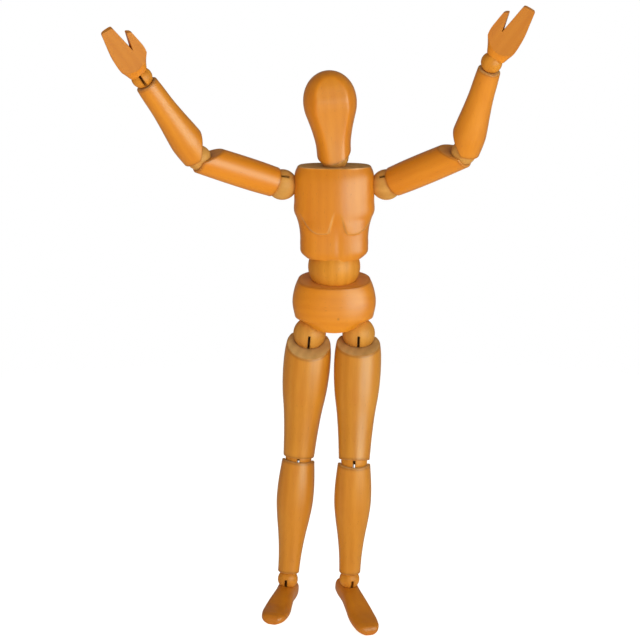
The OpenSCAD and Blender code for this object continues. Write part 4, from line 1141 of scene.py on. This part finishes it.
def hand_grid(side, rows=36, columns=300):
    """Rows from the palm's middle out to the outline, over its wall, and back in over the back."""
    outline = rounded_outline(HAND_CORNERS, columns)
    share = 1 - (1 - np.linspace(0, 1, rows)[:, None, None])**RING_CROWD
    flat = np.array(PALM_POINT) + share * (outline - np.array(PALM_POINT))
    x, z = flat[..., 0], flat[..., 1]
    front, back, planed = hand_depths(x, z)
    q = np.linspace(0, 1, HAND_WALL_ROWS + 2)[1:-1, None]
    wall = front[-1] + q * (back[-1] - front[-1])
    y = np.vstack([front, wall, back[::-1]])
    x, z = (np.vstack([part, part[-1] + 0 * q, part[::-1]]) for part in (x, z))
    points, inside = dish(np.stack([x, y, z], axis=-1), (0, 0, 0), seat_of("wrist"), 2, 1)
    cut, edge = np.zeros_like(x), np.zeros_like(x)
    # The planed palm is darker: partly its own wood, partly painted shade
    cut[:rows], edge[:rows] = PALM_SAWN * planed, PALM_DARK_AND_SHADE * planed
    cut[rows:rows + HAND_WALL_ROWS] = WALL_SAWN
    cut = np.maximum(cut, inside * 1.0)
    points[..., 0] *= -1 if side == "left" else 1
    a = math.radians(HAND_TWIST[side])
    turn = np.array([[math.cos(a), -math.sin(a), 0], [math.sin(a), math.cos(a), 0], [0, 0, 1]])
    return points @ turn.T, cut, edge


for side in SIDES:
    grid, cut, edge = hand_grid(side)
    hand = skin(f"hand_{side}_sawn", grid, rest_place("wrist", side), crease=32, cut=cut, edge=edge)
    finish_piece(hand, f"hand_{side}", f"hand_{side}", varnished)
print("hands:", len(SIDES), "of", len(hand.data.polygons), "faces")

# %% [markdown]
# ## Feet
# A foot is a wedge: high and narrow at the heel, low and broad at the toes, flat below, with a dish for the
# ankle ball. It is sawn and then rounded over by hand. A bevelled wedge would have one round all over, so
# it is a row of squarish ovals whose width and height change along the foot. The feet are painted darker
# all over than the rest: painted shade.

# %% Feet
# Distance from the heel, and half the width or the whole height there
FOOT_WIDE = [(0, 3.6), (1.7, 4.95), (5, 5.5), (15.1, 5.5), (24.3, 6.4), (33.5, 7.3), (41, 7.0),
             (45, 6.1), (47, 4.8), (48, 3.4)]
FOOT_HIGH = [(0, 7.4), (1.7, 9.5), (5, 10), (15.1, 10), (24.3, 8.5), (33.5, 6.1), (41, 5.6),
             (45, 5.2), (47, 4.5), (48, 3.4)]
# Squareness, distance of the heel behind the ankle, height of the ankle, and length
FOOT_POWER, HEEL_BACK, ANKLE_HIGH, FOOT_LEN = 3, 9.5, 13, 48
# Share of the rows' spacing that crowds them at heel and toes
FOOT_CROWD = 0.6
# Rings that close the heel and the toes, as shares of the end's size, and how far they bulge
CLOSE_RINGS, CLOSE_BULGE = (0, 0.4, 0.75), 0.3
# How dark the feet are painted, as painted shade
FOOT_SHADE = 0.32


def foot_grid(rows=110, columns=160):
    """Rings from the heel to the toes, each a squarish oval that stands on the sole."""
    angle = np.linspace(0, 2 * math.pi, columns, endpoint=False)
    t = np.linspace(0, math.pi, rows)
    along = FOOT_LEN * (FOOT_CROWD * (1 - np.cos(t)) / 2 + (1 - FOOT_CROWD) * t / math.pi)
    along = along[:, None]
    half_h = curve_through(FOOT_HIGH, along) / 2
    rho = oval(angle, curve_through(FOOT_WIDE, along), half_h, FOOT_POWER)
    close = np.array(CLOSE_RINGS)[:, None]
    rho = np.vstack([close * rho[0], rho, close[::-1] * rho[-1]])
    bulge = CLOSE_BULGE * (1 - close**2)
    along = np.vstack([along[0] - bulge, along, along[-1] + bulge[::-1]])
    middle = np.vstack([half_h[0] + 0 * close, half_h, half_h[-1] + 0 * close])
    points = np.stack([rho * np.cos(angle), HEEL_BACK - along + 0 * rho,
                       ANKLE_HIGH - middle - rho * np.sin(angle)], axis=-1)
    points, inside = dish(points, (0, 0, 0), seat_of("ankle"), 2, 1)
    # The whole foot is darkened with painted shade
    return points, inside * 1.0, np.full(inside.shape, FOOT_SHADE)


for side in SIDES:
    grid, cut, edge = foot_grid()
    foot = skin(f"foot_{side}_sawn", grid, rest_place("ankle", side), crease=40, cut=cut, edge=edge)
    finish_piece(foot, f"foot_{side}", f"foot_{side}", varnished)
print("feet:", len(SIDES), "of", len(foot.data.polygons), "faces")

# %% [markdown]
# ## Steel, and the solids that stay
# Pins, springs, nails and hooks are drawn wire. Their solids already have the right shape, so
# they only need a finish: brushed steel with fine scratches along the wire.

# %% Steel on the hidden pieces
STEEL_GREY = (0.42, 0.41, 0.40, 1)
SCRATCH_FINE = (2400, 2400, 500)
# Least roughness of the steel, and what the scratches add to it
STEEL_ROUGH, SCRATCH_ROUGH = 0.25, 0.3
# Ends of the names of the nodes that are steel
STEEL_ENDS = ("_pin", "_nail", "_nails", "_spring", "_springs", "_hook")


def make_steel():
    """Drawn steel: a grey metal whose roughness varies with fine noise."""
    material = bpy.data.materials.new("drawn_steel")
    material.use_nodes = True
    tree = material.node_tree
    shader = tree.nodes["Principled BSDF"]
    shader.inputs["Base Color"].default_value = STEEL_GREY
    shader.inputs["Metallic"].default_value = 1.0
    where = tree.nodes.new("ShaderNodeTexCoord").outputs["Object"]
    scratch = stretched_noise(tree, where, SCRATCH_FINE, 3)
    tree.links.new(scaled_and_raised(tree, scratch, SCRATCH_ROUGH, STEEL_ROUGH), shader.inputs["Roughness"])
    return material


steel = make_steel()
for name, node in frame["nodes"].items():
    plain = name.removesuffix("_left").removesuffix("_right")
    node.data.materials.clear()
    node.data.materials.append(steel if plain.endswith(STEEL_ENDS) else varnished)
print("steel:", sum(node.data.materials[0] == steel for node in frame["nodes"].values()), "nodes")

# %% [markdown]
# ## Studio
# The figure stands alone in front of white. The floor is a pale disc that fades into the white
# around it. It glows by itself, so that it is as white as what lies around it.

# %% Floor
# Width of the floor, and the distances where it is gone and where it is whole
FLOOR_SIZE, FLOOR_FADE = 1.6, (0.7, 0.25)
# Glow of the floor for the camera, and for the light that it throws back at the figure
FLOOR_GLOW, FLOOR_BOUNCE = 0.86, 0.4
FLOOR_GAP = 0.5 * MM
scene = bpy.context.scene
scene.view_settings.view_transform = "Standard"


def make_paper():
    """Pale paper that glows, most of all for the camera, and fades with the distance from its middle."""
    material = bpy.data.materials.new("pale_paper")
    material.use_nodes = True
    tree = material.node_tree
    shader = tree.nodes["Principled BSDF"]
    shader.inputs["Base Color"].default_value = (0.92, 0.92, 0.92, 1)
    shader.inputs["Roughness"].default_value = 0.9
    shader.inputs["Emission Color"].default_value = (1, 1, 1, 1)
    seen = tree.nodes.new("ShaderNodeLightPath").outputs["Is Camera Ray"]
    glow = scaled_and_raised(tree, seen, FLOOR_GLOW - FLOOR_BOUNCE, FLOOR_BOUNCE)
    tree.links.new(glow, shader.inputs["Emission Strength"])
    far = tree.nodes.new("ShaderNodeVectorMath")
    far.operation = "LENGTH"
    tree.links.new(tree.nodes.new("ShaderNodeTexCoord").outputs["Object"], far.inputs[0])
    tree.links.new(spread(tree, far.outputs["Value"], *FLOOR_FADE), shader.inputs["Alpha"])
    return material


bpy.ops.mesh.primitive_plane_add(size=FLOOR_SIZE, location=(0, 0, cad_low.z - FLOOR_GAP))
floor = bpy.context.object
floor.name = "floor"
floor.data.materials.append(make_paper())
floor.visible_glossy = False
print("floor at", round(floor.location.z, 4))

# %% [markdown]
# The room is white to look at but dim to the light. It is brighter in front of the figure and
# below it than behind and above, so that sawn tops stay dark and no pale rim runs round the
# limbs.

# %% Room
ROOM_FRONT, ROOM_BACK = 0.42, 0.2
# Share of that light from above and from below
ROOM_ABOVE, ROOM_BELOW = 0.9, 1.3
# How far along Y the back turns into the front, and along Z the top into the bottom
BACK_TO_FRONT, TOP_TO_BOTTOM = (0.5, -0.3), (0.9, -0.6)
ROOM_COLOUR = (1, 0.94, 0.86, 1)


def make_room():
    """White for the camera; for the light, warm, brighter in front, dim behind and above."""
    world = bpy.data.worlds.new("studio")
    world.use_nodes = True
    tree = world.node_tree
    axes = tree.nodes.new("ShaderNodeSeparateXYZ")
    tree.links.new(tree.nodes.new("ShaderNodeTexCoord").outputs["Generated"], axes.inputs[0])
    ahead = spread(tree, axes.outputs["Y"], *BACK_TO_FRONT)
    below = spread(tree, axes.outputs["Z"], *TOP_TO_BOTTOM)
    light = scaled_and_raised(tree, ahead, ROOM_FRONT - ROOM_BACK, ROOM_BACK)
    shade = scaled_and_raised(tree, below, ROOM_BELOW - ROOM_ABOVE, ROOM_ABOVE)
    lit = tree.nodes["Background"]
    lit.inputs["Color"].default_value = ROOM_COLOUR
    tree.links.new(maths(tree, "MULTIPLY", light, shade), lit.inputs["Strength"])
    seen = tree.nodes.new("ShaderNodeBackground")
    seen.inputs["Color"].default_value = (1, 1, 1, 1)
    either = tree.nodes.new("ShaderNodeMixShader")
    tree.links.new(tree.nodes.new("ShaderNodeLightPath").outputs["Is Camera Ray"], either.inputs["Fac"])
    tree.links.new(lit.outputs[0], either.inputs[1])
    tree.links.new(seen.outputs[0], either.inputs[2])
    tree.links.new(either.outputs[0], tree.nodes["World Output"].inputs["Surface"])
    return world


scene.world = make_room()
print("room:", scene.world.name)

# %% [markdown]
# Most of the light is a broad fill from the front and a little below. A window in front and to
# the right gives the broad streaks down the right of every piece. It is two lights in one place,
# so that its sheen on the varnish and its light on the wood can be set apart.

# %% Lights
CHEST_SPOT = (0, 0, 0.06)
FILL_SPOT, FILL_SIZE = (0.3, -2.0, -0.4), (3.2, 2.4)
WINDOW_SPOT, WINDOW_SIZE = (1.2, -1.2, 0.1), (1.8, 1.2)


def add_light(name, spot, size, watts, colour):
    """Soft light of a width and height at a spot in metres, aimed at the chest."""
    light = bpy.data.lights.new(name, "AREA")
    light.shape = "RECTANGLE"
    light.size, light.size_y = size
    light.energy, light.color = watts, colour
    obj = bpy.data.objects.new(name, light)
    obj.location = spot
    obj.rotation_euler = (Vector(CHEST_SPOT) - Vector(spot)).to_track_quat("-Z", "Y").to_euler()
    scene.collection.objects.link(obj)
    return obj


fill = add_light("fill", FILL_SPOT, FILL_SIZE, 31, (1.0, 0.93, 0.82))
fill.visible_glossy = False
key = add_light("key", WINDOW_SPOT, WINDOW_SIZE, 10, (0.88, 1.08, 0.85))
key.visible_glossy = False
sheen = add_light("sheen", WINDOW_SPOT, WINDOW_SIZE, 70, (0.86, 1.0, 0.8))
sheen.visible_diffuse = False
print("lights:", fill.name, key.name, sheen.name)

# %% [markdown]
# The figure is seen from the front and a little above, through a long lens, so that arms and
# legs keep their lengths.

# %% Camera
CAMERA_SPOT = (0, -1.6575, 0.3266)
CAMERA_PITCH, CAMERA_YAW = 11.01, 0.27
FOCAL_PIXELS, PICTURE_PIXELS, SENSOR_MM = 3053, 640, 36
eye = bpy.data.cameras.new("camera")
eye.sensor_width = SENSOR_MM
eye.lens = FOCAL_PIXELS / PICTURE_PIXELS * SENSOR_MM
camera = bpy.data.objects.new("camera", eye)
camera.location = CAMERA_SPOT
camera.rotation_euler = (math.radians(90 - CAMERA_PITCH), 0, math.radians(CAMERA_YAW))
scene.collection.objects.link(camera)
scene.camera = camera
print("camera", round(eye.lens, 1), "mm")
